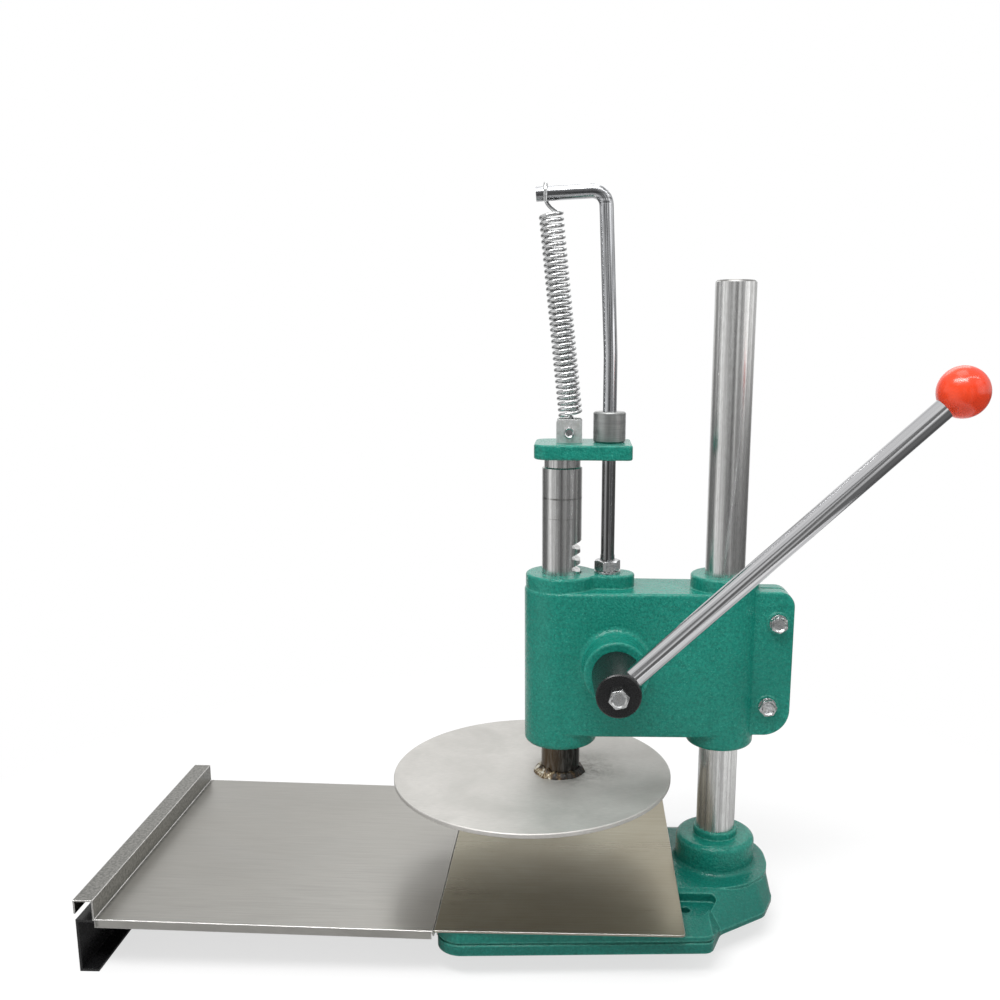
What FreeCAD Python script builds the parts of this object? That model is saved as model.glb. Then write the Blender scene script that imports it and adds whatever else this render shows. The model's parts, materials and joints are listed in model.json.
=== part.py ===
import FreeCAD, Part
import math
import os
import Sketcher
from FreeCAD import Placement, Rotation, Vector

# Pizza dough press. Millimetres, +Z up, +Y away from the side that shows the lever.
# It is drawn about the ram's axis, X = 0 and Y = 0, and its feet stand on Z = 0.

SIZES = {
    # feet, base casting and plate
    "foot_height": 20,
    "foot_diameter": 26,
    "base_thickness": 20.5,
    "rim_thickness": 4,
    "bead_height": 8.6,
    "groove_width": 2,
    "groove_depth": 1.4,
    "plate_thickness": 1.5,
    "plate_right": 99.2,
    "plate_depth": 256.8,
    "base_left": 94,
    "base_front_taper": 10.9,
    "base_shoulder": 121.5,
    "base_neck_x": 131,
    "base_neck_inset": 36.4,
    "rear_neck_y": 86,
    "base_heel_x": 171,
    "base_heel_y": 64,
    "base_heel_flat": 38,
    "corner_radius": 20,
    "shoulder_radius": 9,
    "tier_height": 19.5,
    "tier_half": 53,
    "seat_depth": 5,
    "recess_rear_x": 134,
    "recess_front_x": 118,
    "recess_front_y": 88,
    "slope_top_x": 122,
    "rib": 6,
    "cell_roof": 6,
    "tier_radius": 45,
    "apron_height": 14.5,
    "foot_screw_left": 66,
    "foot_screw_left_y": 80,
    "foot_screw_right": 140,
    "foot_screw_right_y": 32,
    "bench_hole_x": 104.5,
    "bench_hole_y": 71,
    "rear_bench_hole_x": 124,
    "rear_bench_hole_y": 78.5,
    "bench_hole": 9,
    "wall": 10,
    # column
    "column_x": 136.5,
    "column_diameter": 33,
    "column_length": 506.5,
    "column_seat": 28,
    "column_boss": 68,
    "column_boss_height": 22,
    "column_ring": 38,
    "column_ring_height": 6.5,
    "slide_fit": 0.05,
    # tray and its leg
    "tray_length": 264.4,
    "tray_rise": 4.4,
    "tray_sheet": 1.2,
    "tray_gap": 1,
    "tray_lip": 7,
    "leg_stud_y": 95,
    "tray_flange": 16,
    "flange_inset": 22,
    "channel_width": 14.4,
    "channel_height": 16,
    "channel_drop": 11.4,
    "leg_sheet": 2,
    "leg_foot": 15,
    "leg_top": 34,
    # ram, rack and disc
    "ram_diameter": 33,
    "ram_length": 274.6,
    "disc_diameter": 240,
    "disc_thickness": 4,
    "disc_offset": 24.2,
    "disc_gap": 73.4,
    "weld_width": 4.5,
    "weld_height": 5,
    "stroke": 72,
    "tooth_module": 3,
    "gear_teeth": 22,
    "gear_width": 24,
    "gear_x": 45.5,
    "gear_height": 226.8,
    "backlash": 0.3,
    # head casting
    "head_bottom": 162,
    "head_top": 285.7,
    "ram_barrel": 62,
    "column_barrel": 57,
    "barrel_bottom": 149.5,
    "pad_height": 11.3,
    "pad_radius": 30,
    "pad_arm": 61,
    "pad_arm_width": 28,
    "head_edge": 3,
    "boss_edge": 4,
    "clamp_right": 193.3,
    "clamp_bottom": 160,
    "clamp_top": 285,
    "clamp_depth": 30,
    "clamp_slit": 3.5,
    "clamp_corner_top": 13,
    "clamp_corner_bottom": 22,
    "clamp_bolt": 8,
    "upper_bolt_x": 180,
    "upper_bolt_height": 259,
    "lower_bolt_x": 174,
    "lower_bolt_height": 186.6,
    "gear_boss": 53,
    "gear_boss_front": 59,
    "cavity_clearance": 1.5,
    "cover_seat": 33,
    "cover_diameter": 100,
    "cover_thickness": 6,
    "cover_spigot": 5,
    "cover_boss": 40,
    "cover_boss_length": 11,
    "cover_screw_circle": 88,
    "cover_screw": 6,
    # pinion shaft and handle
    "shaft_diameter": 20,
    "bush_wall": 4,
    "hub_diameter": 34.6,
    "hub_rear_diameter": 39.6,
    "hub_length": 50.4,
    "hub_gap": 0.6,
    "hub_bore_depth": 26.6,
    "hub_bolt": 8,
    "hub_bolt_head": 7.5,
    "lever_angle": 43.3,
    "lever_diameter": 16,
    "lever_reach": 330.3,
    "lever_setback": 12,
    "lever_root": 7,
    "knob_diameter": 37.6,
    "knob_stud": 10,
    "key_width": 6,
    # bracket, guide rod, collar and spring
    "bracket_left": 22.6,
    "bracket_right": 56.4,
    "bracket_depth": 58,
    "bracket_thickness": 12,
    "bracket_corner": 12,
    "rod_x": 38.2,
    "rod_diameter": 11.3,
    "rod_thread": 12,
    "rod_root": 22,
    "rod_straight": 470,
    "rod_lean": 2.5,
    "rod_lean_radius": 300,
    "rod_bend_radius": 11,
    "arm_height": 600.2,
    "arm_end": 21.8,
    "arm_droop": 3.5,
    "rod_hole_clearance": 0.2,
    "nut_flats": 19,
    "nut_height": 9,
    "washer_thickness": 2,
    "collar_diameter": 26.4,
    "collar_height": 24.5,
    "collar_gap": 0.3,
    "lug_x": 5.6,
    "lug_width": 20.8,
    "lug_sheet": 2,
    "lug_ear_gap": 18,
    "lug_height": 19,
    "lug_bolt": 5,
    "lug_bolt_height": 8.5,
    "bracket_bolt": 8,
    "ram_neck": 30,
    "ram_neck_height": 9,
    "ram_spigot": 20,
    "ram_spigot_height": 9,
    "spring_coil": 16.7,
    "spring_start": 110,
    "spring_wire": 3.3,
    "spring_turns": 34.75,
    "spring_foot_shift": 0.8,
    "spring_foot_rise": 13,
    "spring_top_shift": 4.2,
    "spring_top_drop": 15.9,
    "hook_inset": 7.5,
    "hook_drop": 3,
    "hook_gap": 0.3,
}

os.makedirs("parts", exist_ok=True)
doc = FreeCAD.newDocument("dough_press")
sheet = doc.addObject("Spreadsheet::Sheet", "Sizes")
for row, (alias, number) in enumerate(SIZES.items(), start=1):
    sheet.set(f"A{row}", alias)
    sheet.set(f"B{row}", str(number))
    sheet.setAlias(f"B{row}", alias)
doc.recompute()


class Size:
    """A length together with the sheet expression that it comes from."""

    def __init__(self, number, text):
        self.number = float(number)
        self.text = text

    def __float__(self):
        return self.number

    def __neg__(self):
        return Size(-self.number, f"(0 - {self.text})")

    def __add__(self, other):
        other = as_size(other)
        return Size(self.number + other.number, f"({self.text} + {other.text})")

    def __sub__(self, other):
        return self + (-as_size(other))

    def __rsub__(self, other):
        return as_size(other) - self

    def __mul__(self, other):
        other = as_size(other)
        return Size(self.number * other.number, f"({self.text} * {other.text})")

    def __truediv__(self, other):
        other = as_size(other)
        return Size(self.number / other.number, f"({self.text} / {other.text})")

    def root(self):
        return Size(math.sqrt(self.number), f"sqrt({self.text})")

    __radd__ = __add__
    __rmul__ = __mul__


def as_size(value):
    return value if isinstance(value, Size) else Size(value, repr(float(value)))


def size(alias):
    return Size(getattr(sheet, alias), f"Sizes.{alias}")


def bind(item, prop, value):
    item.setExpression(prop, as_size(value).text)


def place(item, x=0, y=0, z=0, rotation=None):
    """Puts an object at a place that follows the sheet."""
    item.Placement = Placement(Vector(float(x), float(y), float(z)), rotation or Rotation())
    for axis, value in zip("xyz", (x, y, z)):
        bind(item, f"Placement.Base.{axis}", value)


TURNS = {
    "x": Rotation(Vector(0, 1, 0), 90),
    "y": Rotation(Vector(1, 0, 0), -90),
    "z": Rotation(),
}


def cylinder(name, radius, start, end, at, along="z"):
    """A cylinder from start to end along one axis; at holds its other two coordinates."""
    item = doc.addObject("Part::Cylinder", name)
    bind(item, "Radius", radius)
    bind(item, "Height", as_size(end) - start)
    spot = list(at)
    spot.insert("xyz".index(along), start)
    place(item, *spot, TURNS[along])
    return item


def cone(name, lower, upper, start, end, at):
    item = doc.addObject("Part::Cone", name)
    bind(item, "Radius1", lower)
    bind(item, "Radius2", upper)
    bind(item, "Height", as_size(end) - start)
    place(item, at[0], at[1], start)
    return item


def box(name, x, y, z):
    """A box from three pairs of limits."""
    item = doc.addObject("Part::Box", name)
    for prop, (low, high) in zip(("Length", "Width", "Height"), (x, y, z)):
        bind(item, prop, as_size(high) - low)
    place(item, x[0], y[0], z[0])
    return item


def hexagon(name, flats, start, end, at, along="z"):
    """A hexagonal prism, given by its width across flats."""
    item = doc.addObject("Part::Prism", name)
    item.Polygon = 6
    bind(item, "Circumradius", as_size(flats) / math.sqrt(3))
    bind(item, "Height", as_size(end) - start)
    spot = list(at)
    spot.insert("xyz".index(along), start)
    place(item, *spot, TURNS[along])
    return item


def fuse(label, shapes):
    item = doc.addObject("Part::MultiFuse", label)
    item.Shapes = shapes
    item.Refine = True
    item.Label = label
    return item


def cut(label, base, tools):
    tool = tools[0] if len(tools) == 1 else fuse(f"{label}_cuts", tools)
    item = doc.addObject("Part::Cut", label)
    item.Base = base
    item.Tool = tool
    item.Refine = True
    item.Label = label
    return item


def common(label, first, second):
    item = doc.addObject("Part::Common", label)
    item.Base = first
    item.Tool = second
    item.Label = label
    return item


def group(label, shapes):
    """Separate solids of one kind that share a node."""
    item = doc.addObject("Part::Compound", label)
    item.Links = shapes
    item.Label = label
    return item


def rounded(label, base, radius, wanted):
    """Fillets the edges of base that wanted(edge) picks."""
    doc.recompute()
    picked = [
        (number, float(radius), float(radius))
        for number, edge in enumerate(base.Shape.Edges, start=1)
        if wanted(edge)
    ]
    item = doc.addObject("Part::Fillet", label)
    item.Base = base
    item.Edges = picked
    item.Label = label
    return item


def upright_at(*spots):
    """Picks the upright edges that stand at the given places in plan."""

    def wanted(edge):
        low, high = edge.BoundBox.ZMin, edge.BoundBox.ZMax
        middle = edge.BoundBox.Center
        near = any(math.hypot(middle.x - float(x), middle.y - float(y)) < 0.5 for x, y in spots)
        return near and high - low > 1 and edge.BoundBox.XLength < 0.1

    return wanted


def plane_of(body, role):
    return [item for item in body.Origin.OriginFeatures if item.Role == role][0]


def new_body(label):
    item = doc.addObject("PartDesign::Body", label)
    item.Label = label
    return item


def new_sketch(body, name, role, offset=0):
    sketch = body.newObject("Sketcher::SketchObject", name)
    sketch.AttachmentSupport = (plane_of(body, role), [""])
    sketch.MapMode = "FlatFace"
    bind(sketch, "AttachmentOffset.Base.z", offset)
    return sketch


def free_sketch(name, rotation=None, x=0, y=0, z=0):
    sketch = doc.addObject("Sketcher::SketchObject", name)
    place(sketch, x, y, z, rotation)
    return sketch


def polygon(sketch, corners):
    """A closed outline whose corners follow the sheet."""
    spots = [Vector(float(x), float(y), 0) for x, y in corners]
    lines = [Part.LineSegment(a, b) for a, b in zip(spots, spots[1:] + spots[:1])]
    first = sketch.addGeometry(lines, False)[0]
    count = len(lines)
    for number, (x, y) in enumerate(corners):
        line = first + number
        before = first + (number - 1) % count
        sketch.addConstraint(Sketcher.Constraint("Coincident", before, 2, line, 1))
        for kind, value in (("DistanceX", x), ("DistanceY", y)):
            datum = Sketcher.Constraint(kind, -1, 1, line, 1, float(value))
            bind(sketch, f"Constraints[{sketch.addConstraint(datum)}]", value)


def circle(sketch, x, y, radius):
    shape = Part.Circle(Vector(float(x), float(y), 0), Vector(0, 0, 1), float(radius))
    curve = sketch.addGeometry(shape, False)
    datum = Sketcher.Constraint("Radius", curve, float(radius))
    bind(sketch, f"Constraints[{sketch.addConstraint(datum)}]", radius)
    for kind, value in (("DistanceX", x), ("DistanceY", y)):
        datum = Sketcher.Constraint(kind, -1, 1, curve, 3, float(value))
        bind(sketch, f"Constraints[{sketch.addConstraint(datum)}]", value)


def extrude(label, sketch, direction, length, both_ways=False):
    item = doc.addObject("Part::Extrusion", label)
    item.Base = sketch
    item.DirMode = "Custom"
    item.Dir = direction
    item.Solid = True
    item.Symmetric = both_ways
    bind(item, "LengthFwd", length)
    return item


def pad(body, sketch, length, midplane=False, upside_down=False):
    item = body.newObject("PartDesign::Pad", f"{body.Name}_pad")
    item.Profile = sketch
    bind(item, "Length", length)
    item.Midplane = midplane
    item.Reversed = upside_down
    return item


def pocket(body, sketch, length, midplane=False, upside_down=False):
    """Cuts a sketch out of the body and checks that it took something away."""
    doc.recompute()
    before = body.Tip.Shape.Volume
    item = body.newObject("PartDesign::Pocket", f"{body.Name}_pocket")
    item.Profile = sketch
    bind(item, "Length", length)
    item.Midplane = midplane
    item.Reversed = upside_down
    doc.recompute()
    if item.Shape.Volume > before - 0.1:
        raise ValueError(f"the pocket in {body.Label} cuts nothing")
    return item


def turned(label, profile, role="XZ_Plane"):
    """A turned piece about Z: profile holds (radius, height) corners."""
    body = new_body(label)
    sketch = new_sketch(body, f"{label}_profile", role)
    polygon(sketch, profile)
    item = body.newObject("PartDesign::Revolution", f"{label}_turn")
    item.Profile = sketch
    item.ReferenceAxis = (sketch, ["V_Axis"])
    item.Angle = 360
    doc.recompute()
    return body


def turned_on_y(label, profile, at):
    """A turned piece about Y: profile holds (radius, y) corners."""
    body = turned(label, profile)
    place(body, at[0], 0, at[1], TURNS["y"])
    return body


# Levels and places that several pieces share.
rim = size("foot_height")
plate_seat = rim + size("base_thickness")
plate_top = plate_seat + size("plate_thickness")
column_x = size("column_x")
gear_x = size("gear_x")
gear_height = size("gear_height")
gear_spot = (gear_x, gear_height)
disc_bottom = plate_top + size("disc_gap")
disc_top = disc_bottom + size("disc_thickness")
ram_top = disc_top + size("ram_length")
module = size("tooth_module")
pitch_radius = module * size("gear_teeth") / 2
rack_line = gear_x - pitch_radius
rack_tip = rack_line + module
head_bottom = size("head_bottom")
head_top = size("head_top")
pad_top = head_top + size("pad_height")
barrel_bottom = size("barrel_bottom")
boss_front = -size("gear_boss_front")
cover_seat = size("cover_seat")
cover_face = cover_seat + size("cover_thickness")
cover_end = cover_face + size("cover_boss_length")
hub_back = boss_front - size("hub_gap")
hub_front = hub_back - size("hub_length")
hub_floor = hub_back - size("hub_bore_depth")
bush_outer = size("shaft_diameter") / 2 + size("bush_wall")
spigot_inner = cover_seat - size("cover_spigot")
gear_half = size("gear_width") / 2
cavity_floor = -gear_half - 1
clamp_half = size("clamp_depth") / 2
upper_bolt = (size("upper_bolt_x"), size("upper_bolt_height"))
lower_bolt = (size("lower_bolt_x"), size("lower_bolt_height"))


def mirrored(corners):
    """Adds the same corners on the other side of Y = 0, going back."""
    return corners + [(x, -y) for x, y in reversed(corners)]


def slab(label, corners, bottom, top):
    """A plate of the given outline between two levels."""
    sketch = free_sketch(f"{label}_outline", z=bottom)
    polygon(sketch, corners)
    return extrude(label, sketch, Vector(0, 0, 1), as_size(top) - bottom)


def edges_of(item, wanted):
    doc.recompute()
    return [edge for edge in item.Shape.Edges if wanted(edge)]


def level(z):
    """Picks the edges that lie flat at one height."""

    def wanted(edge):
        bounds = edge.BoundBox
        return max(abs(bounds.ZMin - float(z)), abs(bounds.ZMax - float(z))) < 0.02

    return wanted


def depth(y):
    """Picks the edges that lie flat at one depth."""

    def wanted(edge):
        bounds = edge.BoundBox
        return max(abs(bounds.YMin - float(y)), abs(bounds.YMax - float(y))) < 0.02

    return wanted


def either(*picks):
    return lambda edge: any(pick(edge) for pick in picks)


def lying_y_at(*spots):
    """Picks the edges that run along Y at the given (x, z) places."""

    def wanted(edge):
        bounds = edge.BoundBox
        middle = bounds.Center
        near = any(math.hypot(middle.x - float(x), middle.z - float(z)) < 0.5 for x, z in spots)
        return near and bounds.YLength > 1

    return wanted


# Head casting: two barrels joined by a tapering body, with the gear boss in front,
# the cover seat behind and the split clamp that grips the column.
def make_head_mass():
    ram_radius = size("ram_barrel") / 2
    column_radius = size("column_barrel") / 2
    slope = (ram_radius - column_radius) / column_x
    square = (1 - slope * slope).root()
    flank = [
        (slope * ram_radius, -square * ram_radius),
        (column_x + slope * column_radius, -square * column_radius),
    ]
    body = fuse(
        "head_body",
        [
            cylinder("ram_barrel", ram_radius, head_bottom, head_top, (0, 0)),
            cylinder("column_barrel", column_radius, head_bottom, head_top, (column_x, 0)),
            slab("head_web", mirrored(flank), head_bottom, head_top),
        ],
    )
    edge_round = float(size("head_edge"))
    body = rounded("head_body_rounded", body, edge_round, either(level(head_top), level(head_bottom)))
    right = size("clamp_right")
    bottom, top = size("clamp_bottom"), size("clamp_top")
    clamp = box("head_clamp", (column_x, right), (-clamp_half, clamp_half), (bottom, top))
    clamp = rounded("clamp_top_corner", clamp, size("clamp_corner_top"), lying_y_at((right, top)))
    clamp = rounded(
        "clamp_bottom_corner", clamp, size("clamp_corner_bottom"), lying_y_at((right, bottom))
    )
    outline = either(depth(-clamp_half), depth(clamp_half))
    clamp = rounded(
        "clamp_rounded", clamp, 1.5, lambda edge: outline(edge) and edge.BoundBox.XMax > column_x.number + 1
    )
    arm_round = size("pad_arm_width") / 2
    arm_end = size("pad_arm") - arm_round
    spot_face = -clamp_half - 0.8
    mass = fuse(
        "head_mass",
        [
            body,
            clamp,
            cylinder("ram_boss", size("pad_radius"), head_bottom + 1, pad_top, (0, 0)),
            cylinder("ram_boss_low", ram_radius, barrel_bottom, head_bottom + 8, (0, 0)),
            cylinder("column_boss", column_radius, barrel_bottom, pad_top, (column_x, 0)),
            box("pad_arm", (0, arm_end), (-arm_round, arm_round), (head_top - 4, pad_top)),
            cylinder("pad_arm_end", arm_round, head_top - 4, pad_top, (arm_end, 0)),
            cylinder("gear_boss", size("gear_boss") / 2, boss_front, 0, gear_spot, "y"),
            cylinder("cover_pad", size("cover_diameter") / 2, 0, cover_seat, gear_spot, "y"),
            cylinder("upper_bolt_face", 9, spot_face, 0, upper_bolt, "y"),
            cylinder("lower_bolt_face", 9, spot_face, 0, lower_bolt, "y"),
        ],
    )

    inner_x = math.sqrt(float(size("pad_radius")) ** 2 - float(arm_round) ** 2)
    clamp_x = float(column_x) + math.sqrt(float(column_radius) ** 2 - float(clamp_half) ** 2)

    def inner_corner(edge):
        bounds = edge.BoundBox
        upright = bounds.ZLength > 5 and bounds.XLength < 0.1 and bounds.YLength < 0.1
        return upright and bounds.ZMin > float(head_top) - 1 and abs(bounds.XMin - inner_x) < 2

    def clamp_foot(edge):
        bounds = edge.BoundBox
        long = bounds.ZLength > 0.6 * float(top - bottom)
        return long and abs(bounds.XMin - clamp_x) < 4 and bounds.XLength < 0.1

    def boss_foot(edge):
        bounds = edge.BoundBox
        near = abs(bounds.Center.x - float(gear_x)) < 1
        return near and -33 < bounds.YMin and bounds.YMax < -28 and bounds.YLength > 0.01

    mass = rounded("pad_inner_corners", mass, 6, inner_corner)
    mass = rounded("pad_rounded", mass, 2, level(pad_top))
    mass = rounded("bosses_rounded", mass, float(size("boss_edge")), level(barrel_bottom))
    mass = rounded("gear_boss_rounded", mass, 2, depth(boss_front))
    mass = rounded("gear_boss_foot", mass, 5, boss_foot)
    return rounded("clamp_foot", mass, 3, clamp_foot)


def make_head():
    mass = make_head_mass()
    bore = size("slide_fit")
    ram_bore = size("ram_diameter") / 2 + bore
    column_bore = size("column_diameter") / 2 + bore
    slit = size("clamp_slit") / 2
    tip_circle = pitch_radius + module
    cavity = tip_circle + size("cavity_clearance")
    low, high = barrel_bottom - 1, pad_top + 1
    through = (-clamp_half - 2, clamp_half + 2)
    screw = size("cover_screw") / 2
    reach = size("cover_screw_circle") / 2 / math.sqrt(2)
    rod_hole = size("rod_thread") / 2
    tools = [
        cylinder("ram_bore", ram_bore, low, high, (0, 0)),
        cylinder("column_bore", column_bore, low, high, (column_x, 0)),
        box("clamp_slit", (column_x, size("clamp_right") + 1), (-slit, slit), (low, high)),
        cylinder("gear_cavity", cavity, cavity_floor, cover_seat + 1, gear_spot, "y"),
        cylinder("front_bush_bore", bush_outer, boss_front - 1, 0, gear_spot, "y"),
        cylinder("upper_bolt_hole", size("clamp_bolt") / 2 + 0.5, *through, upper_bolt, "y"),
        cylinder("lower_bolt_hole", size("clamp_bolt") / 2 + 0.5, *through, lower_bolt, "y"),
        cylinder("rod_hole", rod_hole, pad_top - 24, high, (size("rod_x"), 0)),
    ]
    for along in (-1, 1):
        for up in (-1, 1):
            spot = (gear_x + reach * along, gear_height + reach * up)
            tools.append(
                cylinder("cover_screw_hole", screw, cover_seat - 16, cover_seat + 1, spot, "y")
            )
    return cut("head_casting", mass, tools)


# Base casting: a hollow platform for the plate, with a low skirt that sweeps back
# to the tier and the tall boss that holds the column.
base_left = -size("base_left")
base_front_left = size("plate_depth") / 2
base_front_right = base_front_left - size("base_front_taper")
base_neck_y = base_front_left - size("base_neck_inset")
tier_half = size("tier_half")
platform_right = size("plate_right") - 1.5
platform_front = base_front_left - size("base_front_taper") * (
    (platform_right - base_left) / (size("base_shoulder") - base_left)
)
apron_top = rim + size("apron_height")
tier_top = rim + size("tier_height")
boss_top = plate_top + size("column_boss_height")
ring_top = boss_top + size("column_ring_height")
heel = column_x + size("tier_radius")
bench_spot = (size("bench_hole_x"), -size("bench_hole_y"))
rear_bench_spot = (size("rear_bench_hole_x"), size("rear_bench_hole_y"))


def base_layer(label, corners, inset, bottom, top):
    """One layer of the base, with its upright corners rounded like the casting's."""
    sketch = free_sketch(f"{label}_outline", z=bottom)
    polygon(sketch, corners)
    source = sketch
    if float(inset):
        source = doc.addObject("Part::Offset2D", f"{label}_inset")
        source.Source = sketch
        source.Join = "Intersection"
        source.Fill = False
        bind(source, "Value", -inset)
    layer = extrude(label, source, Vector(0, 0, 1), as_size(top) - bottom)
    radii = (
        (base_left + inset, base_front_left - inset, size("corner_radius") - inset),
        (size("base_shoulder") - inset, base_front_right - inset, size("shoulder_radius")),
        (platform_right - inset, platform_front - inset, 4),
        (size("base_neck_x"), base_neck_y, 12),
        (size("base_neck_x"), size("rear_neck_y"), 8),
        (size("base_heel_x"), size("base_heel_y"), 14),
        (heel, size("base_heel_flat"), 14),
    )
    doc.recompute()
    picked = []
    for number, edge in enumerate(layer.Shape.Edges, start=1):
        bounds = edge.BoundBox
        if bounds.ZLength < 1:
            continue
        for x, y, radius in radii:
            if math.hypot(bounds.XMin - float(x), abs(bounds.YMin) - float(y)) < 3:
                picked.append((number, float(radius), float(radius)))
    item = doc.addObject("Part::Fillet", f"{label}_rounded")
    item.Base = layer
    item.Edges = picked
    return item


cells_across, cells_deep = 4, 5
cell_step_x = (size("plate_right") - base_left - 2 * size("wall") + size("rib")) / cells_across
cell_step_y = (2 * (base_front_right - size("wall")) + size("rib")) / cells_deep


def cell_spot(column, row):
    """Left and front sides of one pocket."""
    x = base_left + size("wall") + column * cell_step_x
    y = row * cell_step_y - base_front_right + size("wall")
    return x, y


def underside_cells():
    """Pockets between the ribs under the plate, open at the bottom."""
    wide, long = cell_step_x - size("rib"), cell_step_y - size("rib")
    roof = plate_seat - size("cell_roof")
    cells = []
    for column in range(cells_across):
        for row in range(cells_deep):
            x, y = cell_spot(column, row)
            cells.append(box("cell", (x, x + wide), (y, y + long), (rim - 1, roof)))
    return cells


def make_base():
    front = [
        (base_left, -base_front_left),
        (size("base_shoulder"), -base_front_right),
        (size("base_neck_x"), -base_neck_y),
    ]
    rear = [(platform_right, platform_front), (base_left, base_front_left)]
    ear = [(size("base_neck_x"), tier_half), (platform_right, tier_half)]
    sweep = [
        (size("base_heel_x"), -size("base_heel_y")),
        (heel, -size("base_heel_flat")),
        (heel, size("base_heel_flat")),
        (size("base_heel_x"), size("base_heel_y")),
        (size("base_neck_x"), size("rear_neck_y")),
        (platform_right, size("rear_neck_y")),
    ]
    bead_top = rim + size("bead_height")
    groove_top = bead_top + size("groove_width")
    inset = size("groove_depth")
    platform = [(base_left, -base_front_left), (platform_right, -platform_front)]
    tier = box("tier_block", (platform_right - 4, heel), (-tier_half, tier_half), (rim, tier_top))
    tier = rounded("tier", tier, tier_half - 4, upright_at((heel, tier_half), (heel, -tier_half)))
    low = [(platform_right, -base_neck_y), (size("base_neck_x"), -base_neck_y)] + sweep
    high = mirrored(
        [
            (platform_right, -tier_half),
            (column_x - 4, -tier_half),
            (heel - 16, -tier_half * 0.68),
            (heel - 2, -tier_half * 0.24),
        ]
    )
    sections = []
    for name, corners, z in (("low", low, rim + size("rim_thickness")), ("high", high, tier_top)):
        sketch = free_sketch(f"skirt_{name}", z=z)
        polygon(sketch, corners)
        sections.append(sketch)
    skirt = doc.addObject("Part::Loft", "skirt")
    skirt.Sections = sections
    skirt.Solid = True
    skirt.Ruled = True

    def slanting(edge):
        bounds = edge.BoundBox
        return bounds.ZLength > 5 and bounds.XMax > float(size("base_neck_x")) + 3

    skirt = rounded("skirt_rounded", skirt, 13, slanting)
    apron = fuse(
        "apron",
        [
            base_layer("bead", front + ear + rear, Size(0, "0"), rim, bead_top),
            base_layer("groove", front + ear + rear, inset, bead_top, groove_top),
            base_layer("band", front + ear + rear, Size(0, "0"), groove_top, apron_top),
        ],
    )
    slope = free_sketch("apron_slope_outline", Rotation(Vector(1, 0, 0), 90), y=-tier_half)
    rim_top = rim + size("rim_thickness")
    slope_end = size("base_neck_x") + 1
    polygon(
        slope,
        [
            (size("slope_top_x"), apron_top),
            (slope_end, rim_top),
            (slope_end + 5, rim_top),
            (slope_end + 5, apron_top + 1),
            (size("slope_top_x"), apron_top + 1),
        ],
    )
    apron = cut("apron_sloped", apron, [extrude("apron_slope", slope, Vector(0, -1, 0), size("plate_depth") / 2)])
    mass = fuse(
        "base_mass",
        [
            apron,
            base_layer("platform", mirrored(platform), Size(0, "0"), apron_top, plate_seat),
            base_layer("foot_rim", front + sweep + rear, Size(0, "0"), rim, rim + size("rim_thickness")),
            tier,
            skirt,
            cylinder("base_boss", size("column_boss") / 2, rim, boss_top, (column_x, 0)),
        ],
    )
    mass = rounded(
        "boss_foot",
        mass,
        4,
        lambda edge: level(tier_top)(edge)
        and edge.BoundBox.YLength > 10
        and edge.BoundBox.XMax < float(heel) - 5
        and edge.BoundBox.XMin > float(column_x - size("column_boss") / 2) - 1,
    )
    return mass


def at_each(label, make, spots):
    """The same piece at several (x, y) spots."""
    return [make(f"{label}_{number}", x, y) for number, (x, y) in enumerate(spots, start=1)]


def both_sides(x, y):
    return [(x, -y), (x, y)]


foot_spots = both_sides(-size("foot_screw_left"), size("foot_screw_left_y"))
foot_spots += both_sides(size("foot_screw_right"), size("foot_screw_right_y"))
stud_spots = []
for column in (1, 3):
    for row in (1, 3):
        x, y = cell_spot(column, row)
        stud_spots.append((x + (cell_step_x - size("rib")) / 2, y + (cell_step_y - size("rib")) / 2))
tray_screw_spots = [(y, rim + 8) for y in (-80, 0, 80)]
foot_screw = 3
stud = 2.5
set_screw_height = boss_top - 12


def finish_base(mass):
    column_bore = size("column_diameter") / 2
    seat = apron_top - size("seat_depth")
    tools = [
        cylinder("column_socket", column_bore, size("column_seat"), ring_top + 1, (column_x, 0)),
        cylinder("set_screw_hole", 5, 0, size("column_boss") / 2 + 1, (column_x, set_screw_height), "y"),
    ]
    near, far = -tier_half - 5.5, -size("recess_front_y")
    rear_corner, front_corner = (size("recess_rear_x"), near), (size("recess_front_x"), far)
    corners = [(platform_right, far), front_corner, rear_corner, (platform_right, near)]
    recess = slab("bench_recess", corners, seat, tier_top + 1)
    recess = rounded("recess_front_rounded", recess, 8, upright_at(front_corner))
    tools.append(rounded("recess_rear_rounded", recess, 5, upright_at(rear_corner)))
    rear_seat = rim + size("rim_thickness") + 2
    tools.append(cylinder("rear_bench_seat", 11, rear_seat, tier_top + 1, rear_bench_spot))
    for spot in (bench_spot, rear_bench_spot):
        tools.append(cylinder("bench_hole", size("bench_hole") / 2, rim - 1, apron_top + 1, spot))
    for x, y in foot_spots:
        tools.append(cylinder("foot_screw_hole", foot_screw, rim - 1, rim + 13, (x, y)))
    for x, y in stud_spots:
        tools.append(cylinder("stud_hole", stud + 0.3, rim, plate_seat + 1, (x, y)))
    for spot in tray_screw_spots:
        tools.append(cylinder("tray_screw_hole", stud, base_left - 1, base_left + 9.5, spot, "x"))
    posts = [
        cylinder("foot_post", 11, rim - 2, plate_seat, spot) for spot in foot_spots[:2]
    ]
    cells = cut("underside_cells", fuse("cell_block", underside_cells()), posts)
    ring = cylinder("boss_ring", size("column_ring") / 2, boss_top - 1, ring_top, (column_x, 0))
    whole = fuse("base_with_ring", [mass, ring])
    whole = rounded("ring_rounded", whole, 1.5, level(ring_top))
    whole = rounded(
        "boss_rounded",
        whole,
        5,
        lambda edge: level(boss_top)(edge) and edge.BoundBox.XLength > size("column_ring").number + 2,
    )
    return cut("base_casting", whole, tools + [cells])


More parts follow.
